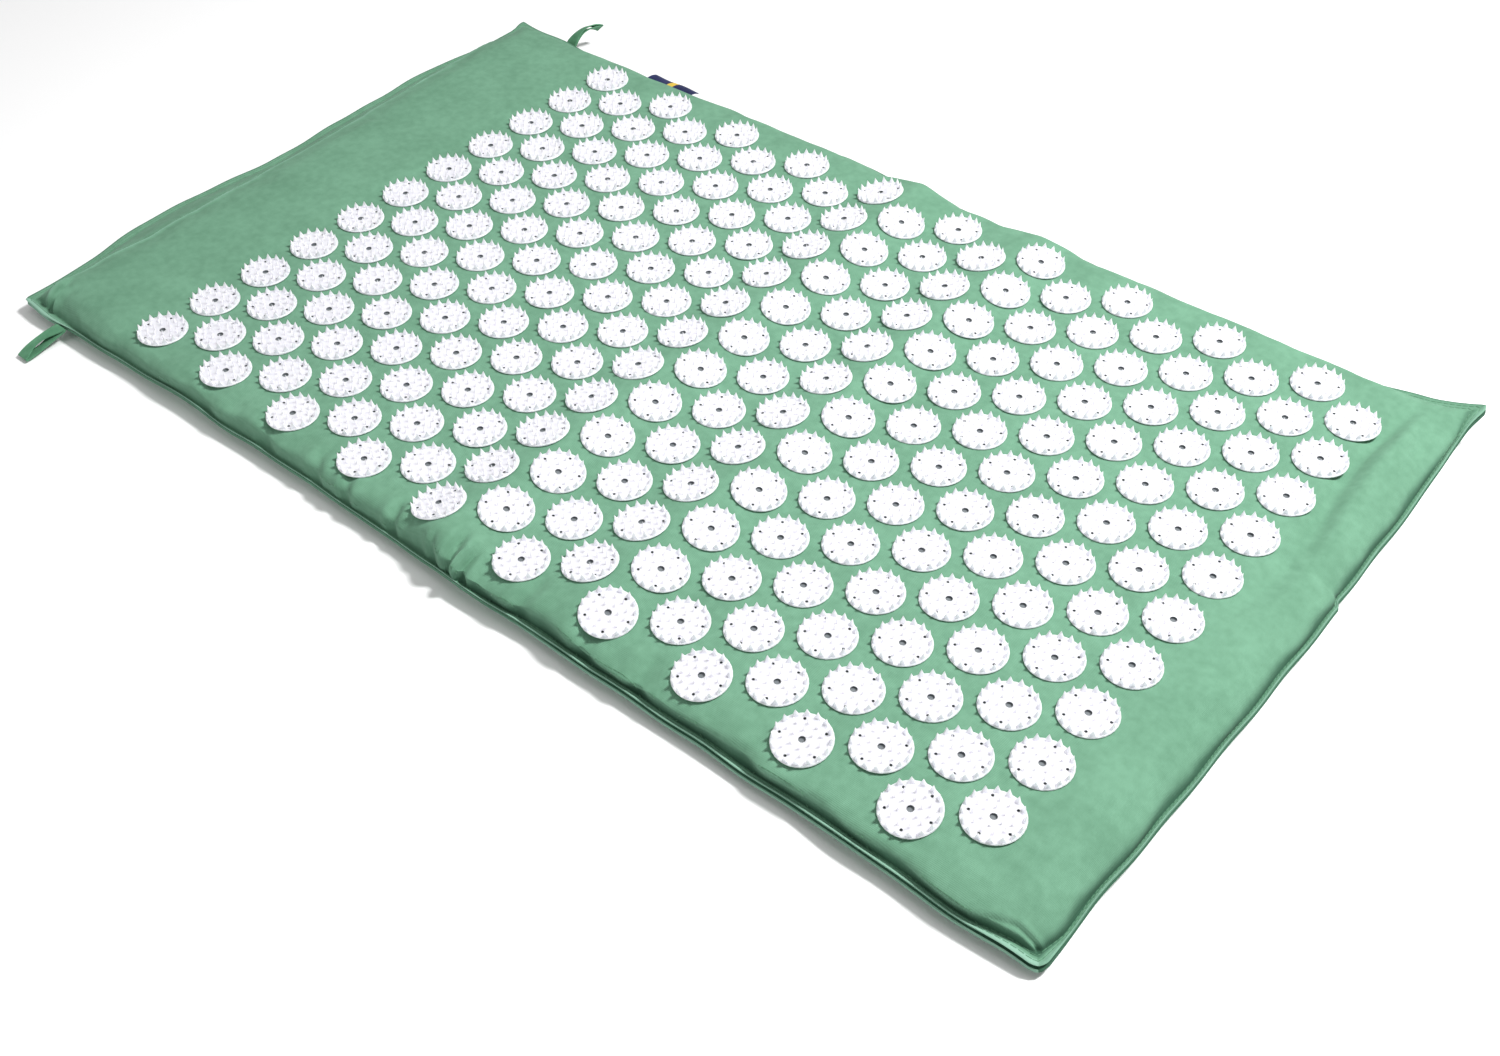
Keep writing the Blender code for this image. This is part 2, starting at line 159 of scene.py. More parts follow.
SWAY_REACH = 0.030
SWAY_START = -0.28
SWAY_RAMP = 0.06
SWAY_LENGTHS = (0.043, 0.019)
WAVE_HEIGHT = 0.00045
WAVE_REACH = 0.012
WAVE_LENGTHS = (0.0131, 0.0067)
STITCH_ROWS = (0.0027, 0.0052)
STITCH_SINKS = (0.00035, 0.00050)
STITCH_SPREADS = (0.0007, 0.0008)
LIP_RISE = 0.0009
LIP_MIDDLE = 0.0008
LIP_SPREAD = 0.0009
LIP_THICKNESS = 0.0013
LIP_END = 0.0022
LIP_FALL = 0.0014
LIP_PROUD = 0.0010
PROUD_DEPTH = 0.004
RIM_DEPTH = 0.0011
RIM_BLEND = 0.0004
GAP_DEPTH = 0.0030
GAP_BLEND = 0.0006
SPLIT_START = 0.04
SPLIT_RAMP = 0.06
FRONT_TUCK = 0.0038
FRONT_TUCKED = ((-0.345, 0), (-0.315, 1), (0.03, 1), (0.08, 0.6), (0.345, 0.6), (0.36, 0))
FOOT_TUCK = 0.0040
FOOT_NOTCH = 0.0465
NOTCH_STEP = 0.0023
NOTCH_WIDTH = 0.0011
CORNER_CLEAR = 0.0075
EDGE_BLEND = 0.005
RIPPLE = 0.0004
SIDE_RIPPLE_LENGTH = 0.009
FOOT_RIPPLE_LENGTH = 0.0085
SMOOTH_ANGLE = math.radians(50)
# Colours painted on the cloth at its sewn edges: a painted highlight on the lips and the hem ridge, and
# painted shade in the grooves, in the gap between the lips and along the dark edge outlines.
COTTON_PAINTED_HIGHLIGHT = (0.300, 0.500, 0.400)
COTTON_PAINTED_SHADE = (0.012, 0.060, 0.032)
INNER_FROM_ENDS = 0.050
INNER_FROM_FRONT = 0.022
INNER_FROM_BACK = 0.010
INNER_SHARE = 0.10
COTTON = (0.142, 0.306, 0.202)
COTTON_DARK = (0.124, 0.274, 0.178)
COTTON_LIGHT = (0.162, 0.340, 0.228)
THREAD_PITCH = 0.0008
SHOULDER_ROWS = (0.025, 0.07, 0.13, 0.21, 0.31, 0.43, 0.57, 0.72, 0.86, 1)
FLANGE_ROWS = (0, 0.10, 0.22, 0.36, 0.52, 0.69, 0.86, 1)


def select_where(piece, kind, test):
    """Leaves edit mode on, with only the edges or faces selected whose centre passes."""
    bpy.ops.object.select_all(action="DESELECT")
    piece.select_set(True)
    bpy.context.view_layer.objects.active = piece
    bpy.ops.object.mode_set(mode="EDIT")
    bpy.ops.mesh.select_mode(type=kind)
    bpy.ops.mesh.select_all(action="DESELECT")
    bpy.ops.object.mode_set(mode="OBJECT")
    mesh = piece.data
    if kind == "EDGE":
        for edge in mesh.edges:
            first, second = (mesh.vertices[index].co for index in edge.vertices)
            edge.select = test((first + second) / 2)
    else:
        for face in mesh.polygons:
            face.select = test(face.center)
    bpy.ops.object.mode_set(mode="EDIT")


def add_node(tree, kind, values=(), **settings):
    node = tree.nodes.new(kind)
    for key, value in settings.items():
        setattr(node, key, value)
    for key, value in values:
        node.inputs[key].default_value = value
    return node


def object_point(tree, scale=(1, 1, 1)):
    """Place on the piece in metres, stretched for a pattern."""
    place = add_node(tree, "ShaderNodeTexCoord")
    mapping = add_node(tree, "ShaderNodeMapping", [("Scale", scale)])
    tree.links.new(place.outputs["Object"], mapping.inputs["Vector"])
    return mapping.outputs["Vector"]


def noise_of(tree, point, scale, detail=2.0):
    noise = add_node(tree, "ShaderNodeTexNoise", [("Scale", scale), ("Detail", detail)])
    tree.links.new(point, noise.inputs["Vector"])
    return noise.outputs["Fac"]


def blend_of(tree, kind, factor, first, second):
    """Mix node on colours. Each of the three may be a socket or a plain value."""
    mix = add_node(tree, "ShaderNodeMix", data_type="RGBA", blend_type=kind)
    for value, socket in ((factor, mix.inputs[0]), (first, mix.inputs[6]), (second, mix.inputs[7])):
        if isinstance(value, bpy.types.NodeSocket):
            tree.links.new(value, socket)
        elif isinstance(value, (int, float)):
            socket.default_value = value
        else:
            socket.default_value = (*value, 1)
    return mix.outputs[2]


def sum_of(tree, kind, first, second):
    node = add_node(tree, "ShaderNodeMath", operation=kind)
    for value, socket in ((first, node.inputs[0]), (second, node.inputs[1])):
        if isinstance(value, bpy.types.NodeSocket):
            tree.links.new(value, socket)
        else:
            socket.default_value = value
    return node.outputs[0]


def bump_of(tree, height, strength, distance):
    bump = add_node(tree, "ShaderNodeBump", [("Strength", strength), ("Distance", distance)])
    tree.links.new(height, bump.inputs["Height"])
    return bump.outputs["Normal"]


def bell(offset, width):
    """Smooth bump: 1 in its middle, and almost nothing at twice its width."""
    return np.exp(-((offset / width) ** 2))


def rising(distance, reach):
    """0 before the start, and an even rise to 1 at this reach."""
    return np.clip(distance / reach, 0, 1)


def fading(distance, reach):
    """1 before the start, and an even fall to 0 at this reach."""
    return np.clip(1 - distance / reach, 0, 1)


def value_on(line, place):
    """Value at a place along a line of (place, value) points."""
    return np.interp(place, *zip(*line))


def depth_of(x, y):
    """Distance of a plan point from the nearest edge of the cover."""
    return np.minimum(HALF_LENGTH - np.abs(x), HALF_WIDTH - np.abs(y))


def near_corner(x, y):
    """How near a plan point is to the drooping foot corner: 1 at it, and 0 past its reach."""
    return fading(np.hypot(x - HALF_LENGTH, y + HALF_WIDTH), CORNER_REACH) ** 2


def rise_share(depth, shoulder, fullness=2.0):
    """How far a slope has risen at this depth from the edge: 0 at the stitch line, 1 on the flat.
    A fullness of 2 is a round roll, and more than that a squarer one."""
    share = rising(depth - FLANGE, shoulder)
    return (1 - (1 - share) ** fullness) ** (1 / fullness)


def seam_height(x, y):
    """Height of the sewn edge: it lifts at the two back corners, droops at the near foot
    corner, and sways a little along the front."""
    height = SEAM_HEIGHT
    for corner, rise in ((HALF_LENGTH, FOOT_EAR_RISE), (-HALF_LENGTH, HEAD_EAR_RISE)):
        distance = np.hypot(x - corner, y - HALF_WIDTH)
        height = height + rise * fading(distance, EAR_REACH) ** 2
    tip = np.hypot(x - HALF_LENGTH, y - HALF_WIDTH)
    height = height + EAR_TIP_RISE * fading(tip, EAR_TIP_REACH) - CORNER_DROOP * near_corner(x, y)
    front = fading(y + HALF_WIDTH, SWAY_REACH) * rising(x - SWAY_START, SWAY_RAMP)
    return height + EDGE_SWAY * front * (np.sin(x / SWAY_LENGTHS[0]) + 0.5 * np.sin(x / SWAY_LENGTHS[1]))


def flange_wave(x, y):
    """Small rise and fall of the sewn edge, which fades out on the slope above it."""
    on_side = HALF_WIDTH - np.abs(y) < HALF_LENGTH - np.abs(x)
    along = np.where(on_side, x, y)
    side = np.sign(np.where(on_side, y, x))
    wave = np.sin(along / WAVE_LENGTHS[0] + side) + 0.7 * np.sin(along / WAVE_LENGTHS[1] + 2 * side)
    return WAVE_HEIGHT * wave * fading(depth_of(x, y), WAVE_REACH)


def near_side(x, y):
    """Which side of the cover a plan point belongs to, as four masks: front, foot, back, head."""
    depths = np.stack([HALF_WIDTH + y, HALF_LENGTH - x, HALF_WIDTH - y, HALF_LENGTH + x])
    return [depths.argmin(0) == number for number in range(4)]


def flange_relief(x, y):
    """Form of the sewn edge across its width: a turned-in lip and two stitched channels,
    which are pressed flat at the head end."""
    depth = depth_of(x, y)
    relief = LIP_RISE * bell(depth - LIP_MIDDLE, LIP_SPREAD)
    for row, sink, spread in zip(STITCH_ROWS, STITCH_SINKS, STITCH_SPREADS):
        relief = relief - sink * bell(depth - row, spread)
    _, _, back, head = near_side(x, y)
    return relief * np.where(head, 0.15, np.where(back, 0.5, 1))


def round_corners(x, y):
    """Plan point near a corner moved so that the corner is turned in a small arc."""
    for side_x, side_y, radius in CORNER_ROUNDS:
        across = 1 - (HALF_LENGTH - side_x * x) / radius
        up = 1 - (HALF_WIDTH - side_y * y) / radius
        inside = (across > 0) & (up > 0)
        share = np.maximum(across, up) / np.maximum(np.hypot(across, up), 1e-9)
        x = np.where(inside, side_x * (HALF_LENGTH - radius + radius * across * share), x)
        y = np.where(inside, side_y * (HALF_WIDTH - radius + radius * up * share), y)
    return x, y


def tuck_share(depth, reach):
    """How far the roll is pushed out over the sewn edge at this depth: fully at the stitch line."""
    return np.clip(np.minimum(depth / FLANGE, (reach - depth) / (reach - FLANGE)), 0, 1)


def edge_line(edge, place):
    """Distance of a side's edge from the middle of the mat at this place along it."""
    return sum(value_on(edge, place + step) for step in (-EDGE_BLEND, 0, EDGE_BLEND)) / 3


def shaped(x, y):
    """Plan point moved to the real run of the four sides: the lobes of the head end, the notch
    of the foot end, the roll drawn out over the sewn edge, and small waves."""
    x, y = round_corners(x, y)
    side_share = rising(SIDE_REACH - (HALF_WIDTH - np.abs(y)), SIDE_REACH - FLANGE)
    end_share = rising(END_REACH - (HALF_LENGTH - np.abs(x)), END_REACH - FLANGE)
    side_edge = np.where(y < 0, edge_line(FRONT_EDGE, x), edge_line(BACK_EDGE, x))
    new_y = y + np.sign(y) * (side_edge - HALF_WIDTH) * side_share
    new_y = new_y + RIPPLE * side_share * np.sin(x / SIDE_RIPPLE_LENGTH + np.sign(y))
    new_y = new_y - FRONT_TUCK * tuck_share(HALF_WIDTH + y, SIDE_REACH) * value_on(FRONT_TUCKED, x)
    end_edge = np.where(x > 0, edge_line(FOOT_EDGE, y), edge_line(HEAD_EDGE, y))
    notch = NOTCH_STEP * (1 + np.tanh((y - FOOT_NOTCH) / NOTCH_WIDTH)) / 2
    end_edge = end_edge + (x > 0) * (RIPPLE * np.sin(y / FOOT_RIPPLE_LENGTH) - notch)
    new_x = x + np.sign(x) * (end_edge - HALF_LENGTH) * end_share
    off_corners = rising(HALF_WIDTH - np.abs(y) - CORNER_CLEAR, 2 * CORNER_CLEAR) * (x > 0)
    new_x = new_x + FOOT_TUCK * tuck_share(HALF_LENGTH - x, END_REACH) * off_corners
    return new_x, new_y


def rows_from_edge(shoulder):
    """Depths of the rows of points on the flange and on the slope above it."""
    on_flange = [share * FLANGE for share in FLANGE_ROWS]
    return on_flange + [FLANGE + share * shoulder for share in SHOULDER_ROWS]


def plan_lines(half, low_shoulder, high_shoulder, zones):
    """Lines across the cover from one edge to the other, closer on the flange and slopes.
    zones are the steps between them, as (up to here, step)."""
    low = [depth - half for depth in rows_from_edge(low_shoulder)]
    high = [half - depth for depth in rows_from_edge(high_shoulder)][::-1]
    lines, place = low, low[-1]
    for end, step in [*zones, (high[0], zones[-1][1])]:
        count = max(1, round((end - place) / step))
        lines = lines + [place + (end - place) * (number + 1) / count for number in range(count)]
        place = end
    return np.array(lines + high[1:])


def add_grid(name, columns, rows):
    """Flat square of one metre with so many columns and rows of faces, and its points."""
    bpy.ops.object.select_all(action="DESELECT")
    bpy.ops.mesh.primitive_grid_add(x_subdivisions=columns, y_subdivisions=rows, size=1)
    grid = bpy.context.object
    grid.name = name
    return grid, points_of(grid)


def add_panel(name, along, across):
    """Grid of plan points, one for each crossing of the lines, still flat."""
    panel, flat = add_grid(name, len(along) - 1, len(across) - 1)
    panel.data.name = name
    column = np.round((flat[:, 0] + 0.5) * (len(along) - 1)).astype(int)
    row = np.round((flat[:, 1] + 0.5) * (len(across) - 1)).astype(int)
    plan = np.stack([along[column], across[row]], 1)
    plan_map = panel.data.attributes.new("plan", "FLOAT2", "POINT")
    plan_map.data.foreach_set("vector", plan.astype(np.float32).ravel())
    return panel, plan


def points_of(piece):
    points = np.empty(len(piece.data.vertices) * 3, np.float32)
    piece.data.vertices.foreach_get("co", points)
    return points.reshape(-1, 3).astype(float)


def plan_of(piece):
    plan = np.empty(len(piece.data.vertices) * 2, np.float32)
    piece.data.attributes["plan"].data.foreach_get("vector", plan)
    return plan.reshape(-1, 2).astype(float)


def place_points(piece, points):
    piece.data.vertices.foreach_set("co", points.astype(np.float32).ravel())
    piece.data.update()


def tree_of(piece):
    """Faces of a finished piece, to find where a line down on it or up to it lands."""
    faces = [tuple(face.vertices) for face in piece.data.polygons]
    return BVHTree.FromPolygons(points_of(piece).tolist(), faces)


def finish_modifier(piece, modifier):
    bpy.ops.object.select_all(action="DESELECT")
    piece.select_set(True)
    bpy.context.view_layer.objects.active = piece
    bpy.ops.object.modifier_apply(modifier=modifier.name)


def subdivide_once(piece):
    finer = piece.modifiers.new("finer", "SUBSURF")
    finer.levels = 1
    finer.render_levels = 1
    finer.boundary_smooth = "PRESERVE_CORNERS"
    finish_modifier(piece, finer)


def thicken(piece, thickness):
    """Gives the cloth its thickness, on its inner side."""
    wall = piece.modifiers.new("wall", "SOLIDIFY")
    wall.thickness = thickness
    wall.offset = -1
    finish_modifier(piece, wall)
    bpy.ops.object.shade_smooth_by_angle(angle=SMOOTH_ANGLE)


def thicken_cover(piece, pressed):
    """Gives a panel its thickness, fuller at the lip, where the cloth is turned in, and
    leaves the wall inside the cover, which no one sees, in larger faces away from its edges.
    It also keeps with each point the light and shade painted on the cloth there: over 0 for a
    painted highlight, as on a turned-in lip, and under 0 for painted shade, as in a groove."""
    kept = piece.data.attributes.new("pressed", "FLOAT", "POINT")
    kept.data.foreach_set("value", pressed.astype(np.float32))
    depth = depth_of(*plan_of(piece).T)
    lip = piece.vertex_groups.new(name="lip")
    for index in np.flatnonzero(depth < LIP_END):
        lip.add([int(index)], float(bell(depth[index], LIP_FALL)), "REPLACE")
    wall = piece.modifiers.new("wall", "SOLIDIFY")
    wall.thickness = LIP_THICKNESS
    wall.offset = -1
    wall.vertex_group = lip.name
    wall.thickness_vertex_group = CLOTH / LIP_THICKNESS
    outer = len(piece.data.polygons)
    finish_modifier(piece, wall)
    piece.vertex_groups.clear()
    reach_x = HALF_LENGTH - INNER_FROM_ENDS
    low_y, high_y = INNER_FROM_FRONT - HALF_WIDTH, HALF_WIDTH - INNER_FROM_BACK
    select_where(piece, "FACE", lambda middle: False)
    bpy.ops.object.mode_set(mode="OBJECT")
    for face in piece.data.polygons:
        middle = face.center
        face.select = face.index >= outer and abs(middle.x) < reach_x and low_y < middle.y < high_y
    bpy.ops.object.mode_set(mode="EDIT")
    bpy.ops.mesh.decimate(ratio=INNER_SHARE)
    bpy.ops.object.mode_set(mode="OBJECT")
    bpy.ops.object.shade_smooth_by_angle(angle=SMOOTH_ANGLE)


def woven_cloth(name, colours, pitch, roughness):
    """Plain weave: threads over and under each other, with slubs and faint mottling."""
    material, shader = new_material(name, colours[1], roughness)
    tree = material.node_tree
    point = object_point(tree)
    threads = []
    run = [("Scale", math.pi / 10 / pitch), ("Distortion", 0.6), ("Detail Scale", 2.0)]
    for direction in ("X", "Y"):
        wave = add_node(tree, "ShaderNodeTexWave", run, bands_direction=direction)
        tree.links.new(point, wave.inputs["Vector"])
        threads.append(wave.outputs["Fac"])
    weave = sum_of(tree, "MULTIPLY", threads[0], threads[1])
    slubs_along = noise_of(tree, object_point(tree, (1, 0.12, 1)), 1100.0)
    slubs_across = noise_of(tree, object_point(tree, (0.12, 1, 1)), 1100.0)
    slubs = sum_of(tree, "ADD", slubs_along, slubs_across)
    patches = sum_of(tree, "ADD", noise_of(tree, point, 34.0, 4.0), noise_of(tree, point, 190.0, 3.0))
    mottle = sum_of(tree, "MULTIPLY", patches, 0.5)
    spread = add_node(tree, "ShaderNodeMapRange", [("From Min", 0.36), ("From Max", 0.64)])
    tree.links.new(mottle, spread.inputs["Value"])
    tone = blend_of(tree, "MIX", spread.outputs["Result"], colours[0], colours[2])
    thread_shade = sum_of(tree, "MULTIPLY", sum_of(tree, "ADD", slubs, weave), 0.30)
    thread_tone = blend_of(tree, "MIX", thread_shade, (0.55, 0.6, 0.55), (1, 1, 1))
    tone = blend_of(tree, "MULTIPLY", 0.35, tone, thread_tone)
    tree.links.new(tone, shader.inputs["Base Color"])
    relief = sum_of(tree, "ADD", weave, sum_of(tree, "MULTIPLY", slubs, 0.6))
    tree.links.new(bump_of(tree, relief, 0.35, pitch / 3), shader.inputs["Normal"])
    shader.inputs["Sheen Weight"].default_value = 0.04
    shader.inputs["Sheen Roughness"].default_value = 0.5
    shader.inputs["Specular IOR Level"].default_value = 0.25
    return material


cotton = woven_cloth("green_cotton", (COTTON_DARK, COTTON, COTTON_LIGHT), THREAD_PITCH, 0.88)
tree = cotton.node_tree
shader = tree.nodes["Principled BSDF"]
woven_tone = shader.inputs["Base Color"].links[0].from_socket
# The cloth's colour is lightened by a painted highlight where the kept painted light is over 0, and
# darkened by painted shade where it is under 0.
pressed = add_node(tree, "ShaderNodeAttribute", attribute_name="pressed").outputs["Fac"]
painted_highlight = add_node(tree, "ShaderNodeMapRange", [("From Min", 0.0), ("From Max", 1.0), ("To Max", 0.6)])
shaded = add_node(tree, "ShaderNodeMapRange", [("From Min", 0.0), ("From Max", -1.0), ("To Max", 0.85)])
tree.links.new(pressed, painted_highlight.inputs["Value"])
tree.links.new(pressed, shaded.inputs["Value"])
highlight_tone = blend_of(tree, "MIX", painted_highlight.outputs["Result"], woven_tone, COTTON_PAINTED_HIGHLIGHT)
edge_tone = blend_of(tree, "MIX", shaded.outputs["Result"], highlight_tone, COTTON_PAINTED_SHADE)
tree.links.new(edge_tone, shader.inputs["Base Color"])

along = plan_lines(HALF_LENGTH, UNDER_SHOULDER, UNDER_SHOULDER, [(0, 0.010)])
zones = [(0.040, 0.010), (0.053, 0.0016), (0.10, 0.010)]
across = plan_lines(HALF_WIDTH, UNDER_SHOULDER, UNDER_SHOULDER, zones)
bottom, plan = add_panel("cover_bottom", along, across)
x, y = plan.T
swell = rise_share(HALF_LENGTH - abs(x), UNDER_SHOULDER) * rise_share(HALF_WIDTH - abs(y), UNDER_SHOULDER)
depth = depth_of(x, y)
seam = seam_height(x, y) + flange_wave(x, y) - LAYER_GAP / 2 - CLOTH - flange_relief(x, y)
new_x, new_y = shaped(x, y)
near_edge = fading(depth, PROUD_DEPTH)
proud = near_edge * rising(x - SPLIT_START, SPLIT_RAMP) * (HALF_WIDTH + y < PROUD_DEPTH)
new_y = new_y - LIP_PROUD * proud
foot_proud = near_edge * (HALF_LENGTH - x < PROUD_DEPTH)
new_x = new_x + LIP_PROUD * 0.6 * foot_proud
seam = seam - LIP_PROUD * 0.4 * np.maximum(proud, foot_proud)
place_points(bottom, np.stack([new_x, new_y, seam * (1 - swell)], 1))
subdivide_once(bottom)
x, y = plan_of(bottom).T
depth = depth_of(x, y)
front, foot, _, _ = near_side(x, y)
# Painted light on the bottom panel's edge: at the front, a painted highlight on the outer rim and, on the
# right half, painted shade in the gap between the two lips; at the foot, painted shade on the rim and the
# gap; on the back and head, faint painted shade on the rim.
rim = rising(RIM_DEPTH - depth, RIM_BLEND)
gap = rising(GAP_DEPTH - depth, GAP_BLEND) - rim
split = rising(x - SPLIT_START, SPLIT_RAMP)
bottom_painted_light = np.where(front, 0.8 * rim - gap * split, -0.9 * np.where(foot, rim + gap, 0.4 * rim))
select_where(bottom, "FACE", lambda middle: True)
bpy.ops.mesh.flip_normals()
bpy.ops.object.mode_set(mode="OBJECT")
thicken_cover(bottom, bottom_painted_light)
bottom.data.materials.append(cotton)
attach(bottom, "mat")
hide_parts("bottom_panel")

# Top panel: the same cotton, drawn over the slab and gathered into the flange, so
# the edges swell in a soft roll with puckers at the front. Two low folds run across
# it between columns of discs, and a shallow crease runs along the foot end.

CROWN_HEIGHT = 0.0206
HEAD_SHOULDER = 0.020
HEM_LINE = ((-0.222, -0.3495), (-0.140, -0.3490), (0.222, -0.3708))
HEM_SHOULDER = ((-0.222, 0.0177), (-0.14, 0.0216), (0.00, 0.0170), (0.10, 0.0120), (0.222, 0.0050))
FOOT_SHOULDER = 0.025
FRONT_SHOULDER = 0.012
BACK_SHOULDER = 0.014
COLUMNS = 20
DISC_RADIUS = 0.015
DISC_PITCH = 0.038
COLUMN_PITCH = 0.0306
FIRST_COLUMN = HALF_LENGTH - 0.050
FIRST_DISC = 0.025 - HALF_WIDTH
FOLDS = ((8, 0.15, 0.15), (11, 0.14, 0.24))
PUFF_PRESSURE = 4.0
PUFF_FRAMES = 20
PUFF_CAP = 0.0022
SLACK = -0.004
GATHER = -0.035
GATHER_END = 0.045
GATHER_REACH = 0.035
PUCKERS = (
    (0.0170, -0.2040, 0.0215, -0.2190, 0.0028, 0.0034),
    (0.0290, -0.2060, 0.0298, -0.2190, 0.0026, 0.0030),
    (0.0250, -0.2070, 0.0258, -0.2200, 0.0018, -0.0010),
    (0.0048, -0.2110, 0.0068, -0.2190, 0.0026, 0.0018),
    (-0.0310, -0.2060, -0.0262, -0.2190, 0.0030, 0.0024),
    (-0.0690, -0.2050, -0.0640, -0.2190, 0.0034, 0.0018),
    (-0.0950, -0.2050, -0.0890, -0.2190, 0.0036, 0.0016),
    (0.0690, -0.1990, 0.0700, -0.2170, 0.0046, 0.0016),
    (0.1120, -0.2010, 0.1150, -0.2175, 0.0058, 0.0018),
    (0.1480, -0.2010, 0.1500, -0.2175, 0.0052, 0.0016),
    (0.2140, -0.2010, 0.2170, -0.2175, 0.0066, 0.0014),
    (-0.1380, -0.2020, -0.1330, -0.2190, 0.0056, 0.0014),
    (-0.1900, -0.2040, -0.1850, -0.2190, 0.0066, 0.0012),
    (0.3480, -0.2150, 0.3600, -0.2130, 0.0013, 0.0009),
    (0.3600, -0.2130, 0.3730, -0.2150, 0.0013, 0.0012),
    (0.3560, -0.2170, 0.3730, -0.2185, 0.0013, -0.0008),
    (0.3560, 0.2010, 0.3610, 0.1640, 0.0052, 0.0022),
    (-0.3445, -0.2030, -0.3460, -0.2190, 0.0024, 0.0020),
    (-0.3395, -0.2060, -0.3410, -0.2190, 0.0020, -0.0010),
)
HOLLOWS = (
    (-0.0043, -0.2150, 0.0070, 0.0050, 0.0016),
    (-0.0161, -0.2140, 0.0080, 0.0050, 0.0016),
    (0.0400, -0.2120, 0.0100, 0.0070, 0.0024),
    (-0.1150, -0.2120, 0.0120, 0.0060, 0.0014),
    (-0.1620, -0.2120, 0.0140, 0.0060, 0.0012),
)
FRONT_FULLNESS = ((-0.33, 2), (-0.25, 3), (0.03, 3), (0.10, 5))
FRONT_FALL = 0.0050
FRONT_FALL_REACH = 0.030
RIGHT_HALF = ((0.03, 0), (0.10, 1))
OVERHANG = 0.0026
OVERHANG_SHARES = ((-0.34, 0), (-0.30, 0.35), (-0.02, 0.35), (0.07, 1))
OVERHANG_FADE = 0.025
FRONT_ROLL_LENGTHS = (0.017, 0.0071)
FOOT_OVERHANG = 0.0012
FOOT_OVERHANG_START = 0.008
FOOT_OVERHANG_FADE = 0.02
FOOT_ROLL_LENGTHS = (0.013, 0.0058)
ROLL_START = 0.001
ROLL_REACH = 0.0045
SEAM_CLEAR = 0.0048
SEAM_CLEAR_BLEND = 0.0016
RELIEF_COARSE = 0.0007
RELIEF_FINE = 0.00022
RELIEF_BLEND = 0.010
FRONT_WAVES = 0.0010
WAVES_DEPTH = 0.011
WAVES_SPREAD = 0.008
FOOT_CREASE = 0.0036
CREASE_PLACE = 0.3455
CREASE_SWAY = 0.0035
CREASE_SWAY_LENGTH = 0.03
CREASE_WIDTH = 0.0050
CREASE_TO_RIDGE = 0.010
CREASE_RUN = ((-0.03, 0), (0.09, 1), (0.192, 1), (0.212, 0))
HEAD_SLANT = 0.75
HEM_INSET = 0.003
HEM_SIDE_BLEND = 0.012
HEM_END_BLEND = 0.004
HEM_RIDGE = 0.0011
HEM_WIDTH = 0.0017
# Width of the painted highlight along the hem ridge.
HEM_HIGHLIGHT_WIDTH = 0.0011
HEM_SINK = 0.0007
SINK_TO_HEM = 0.0042
HEM_SINK_WIDTH = 0.0026
LIP_WIDTH = 0.0036
LIP_BLEND = 0.0008
GROOVE_OUTSIDE = 0.0004
FRONT_GROOVE_WIDTH = 0.0011
FOOT_GROOVE_WIDTH = 0.0019
FRONT_GROOVE = ((-0.02, 0.4), (0.06, 1))
FOOT_GROOVE = ((0.17, 1), (0.21, 0.5))
BACK_RIM = 0.0014


def fold_height(x, y):
    """Height of the folds, whose flanks are flat because the discs keep the cloth flat."""
    height = 0 * x
    for column, middle, end in FOLDS:
        place = FIRST_COLUMN - (column - 0.5) * COLUMN_PITCH
        slope = middle + (end - middle) * (y / HALF_WIDTH) ** 2
        height = height + slope * np.clip(COLUMN_PITCH - np.abs(x - place), 0, None)
    return height


def crown_height(x, y):
    """Height of the cloth on top of the slab: the folds, and on the right half a slow fall
    towards the front, which the first discs there follow."""
    near_front = fading(HALF_WIDTH + y - FLANGE, FRONT_FALL_REACH)
    return CROWN_HEIGHT + fold_height(x, y) - FRONT_FALL * near_front**2 * value_on(RIGHT_HALF, x)


def disc_places(column):
    """Places of a column's discs: ten or eleven in turn, set half a pitch apart."""
    x = FIRST_COLUMN - column * COLUMN_PITCH
    short = column % 2 == 0
    start = FIRST_DISC + (DISC_PITCH / 2 if short else 0)
    return [(x, start + number * DISC_PITCH) for number in range(10 if short else 11)]


def top_height(x, y):
    """Height of the cloth over the slab. The head end slopes nearly straight up to its hem,
    because no foam fills it, and the other sides swell in a round roll."""
    end_depth = HALF_LENGTH - abs(x)
    head_shoulder = value_on(HEM_SHOULDER, y)
    end = rise_share(end_depth, np.where(x > 0, FOOT_SHOULDER, head_shoulder))
    straight = rising(end_depth - FLANGE, head_shoulder)
    end = np.where(x > 0, end, end + (straight - end) * HEAD_SLANT)
    fullness = np.where(y < 0, value_on(FRONT_FULLNESS, x), 2)
    side = rise_share(HALF_WIDTH - abs(y), np.where(y > 0, BACK_SHOULDER, FRONT_SHOULDER), fullness)
    seam = seam_height(x, y) + flange_wave(x, y) + LAYER_GAP / 2 + CLOTH + flange_relief(x, y)
    crown = crown_height(x, y) - CROWN_DROOP * CORNER_DROOP * near_corner(x, y)
    return seam + (crown - seam) * end * side


def roll_share(past_flange):
    """How far the roll hangs out at this distance inwards from the sewn edge."""
    return rising(past_flange, ROLL_START) * bell(np.maximum(past_flange, 0), ROLL_REACH)


def uneven(place, lengths, sizes):
    """Share that sways about 1 along an edge, in two waves of these lengths and sizes."""
    return 1 + sizes[0] * np.sin(place / lengths[0]) + sizes[1] * np.sin(place / lengths[1])


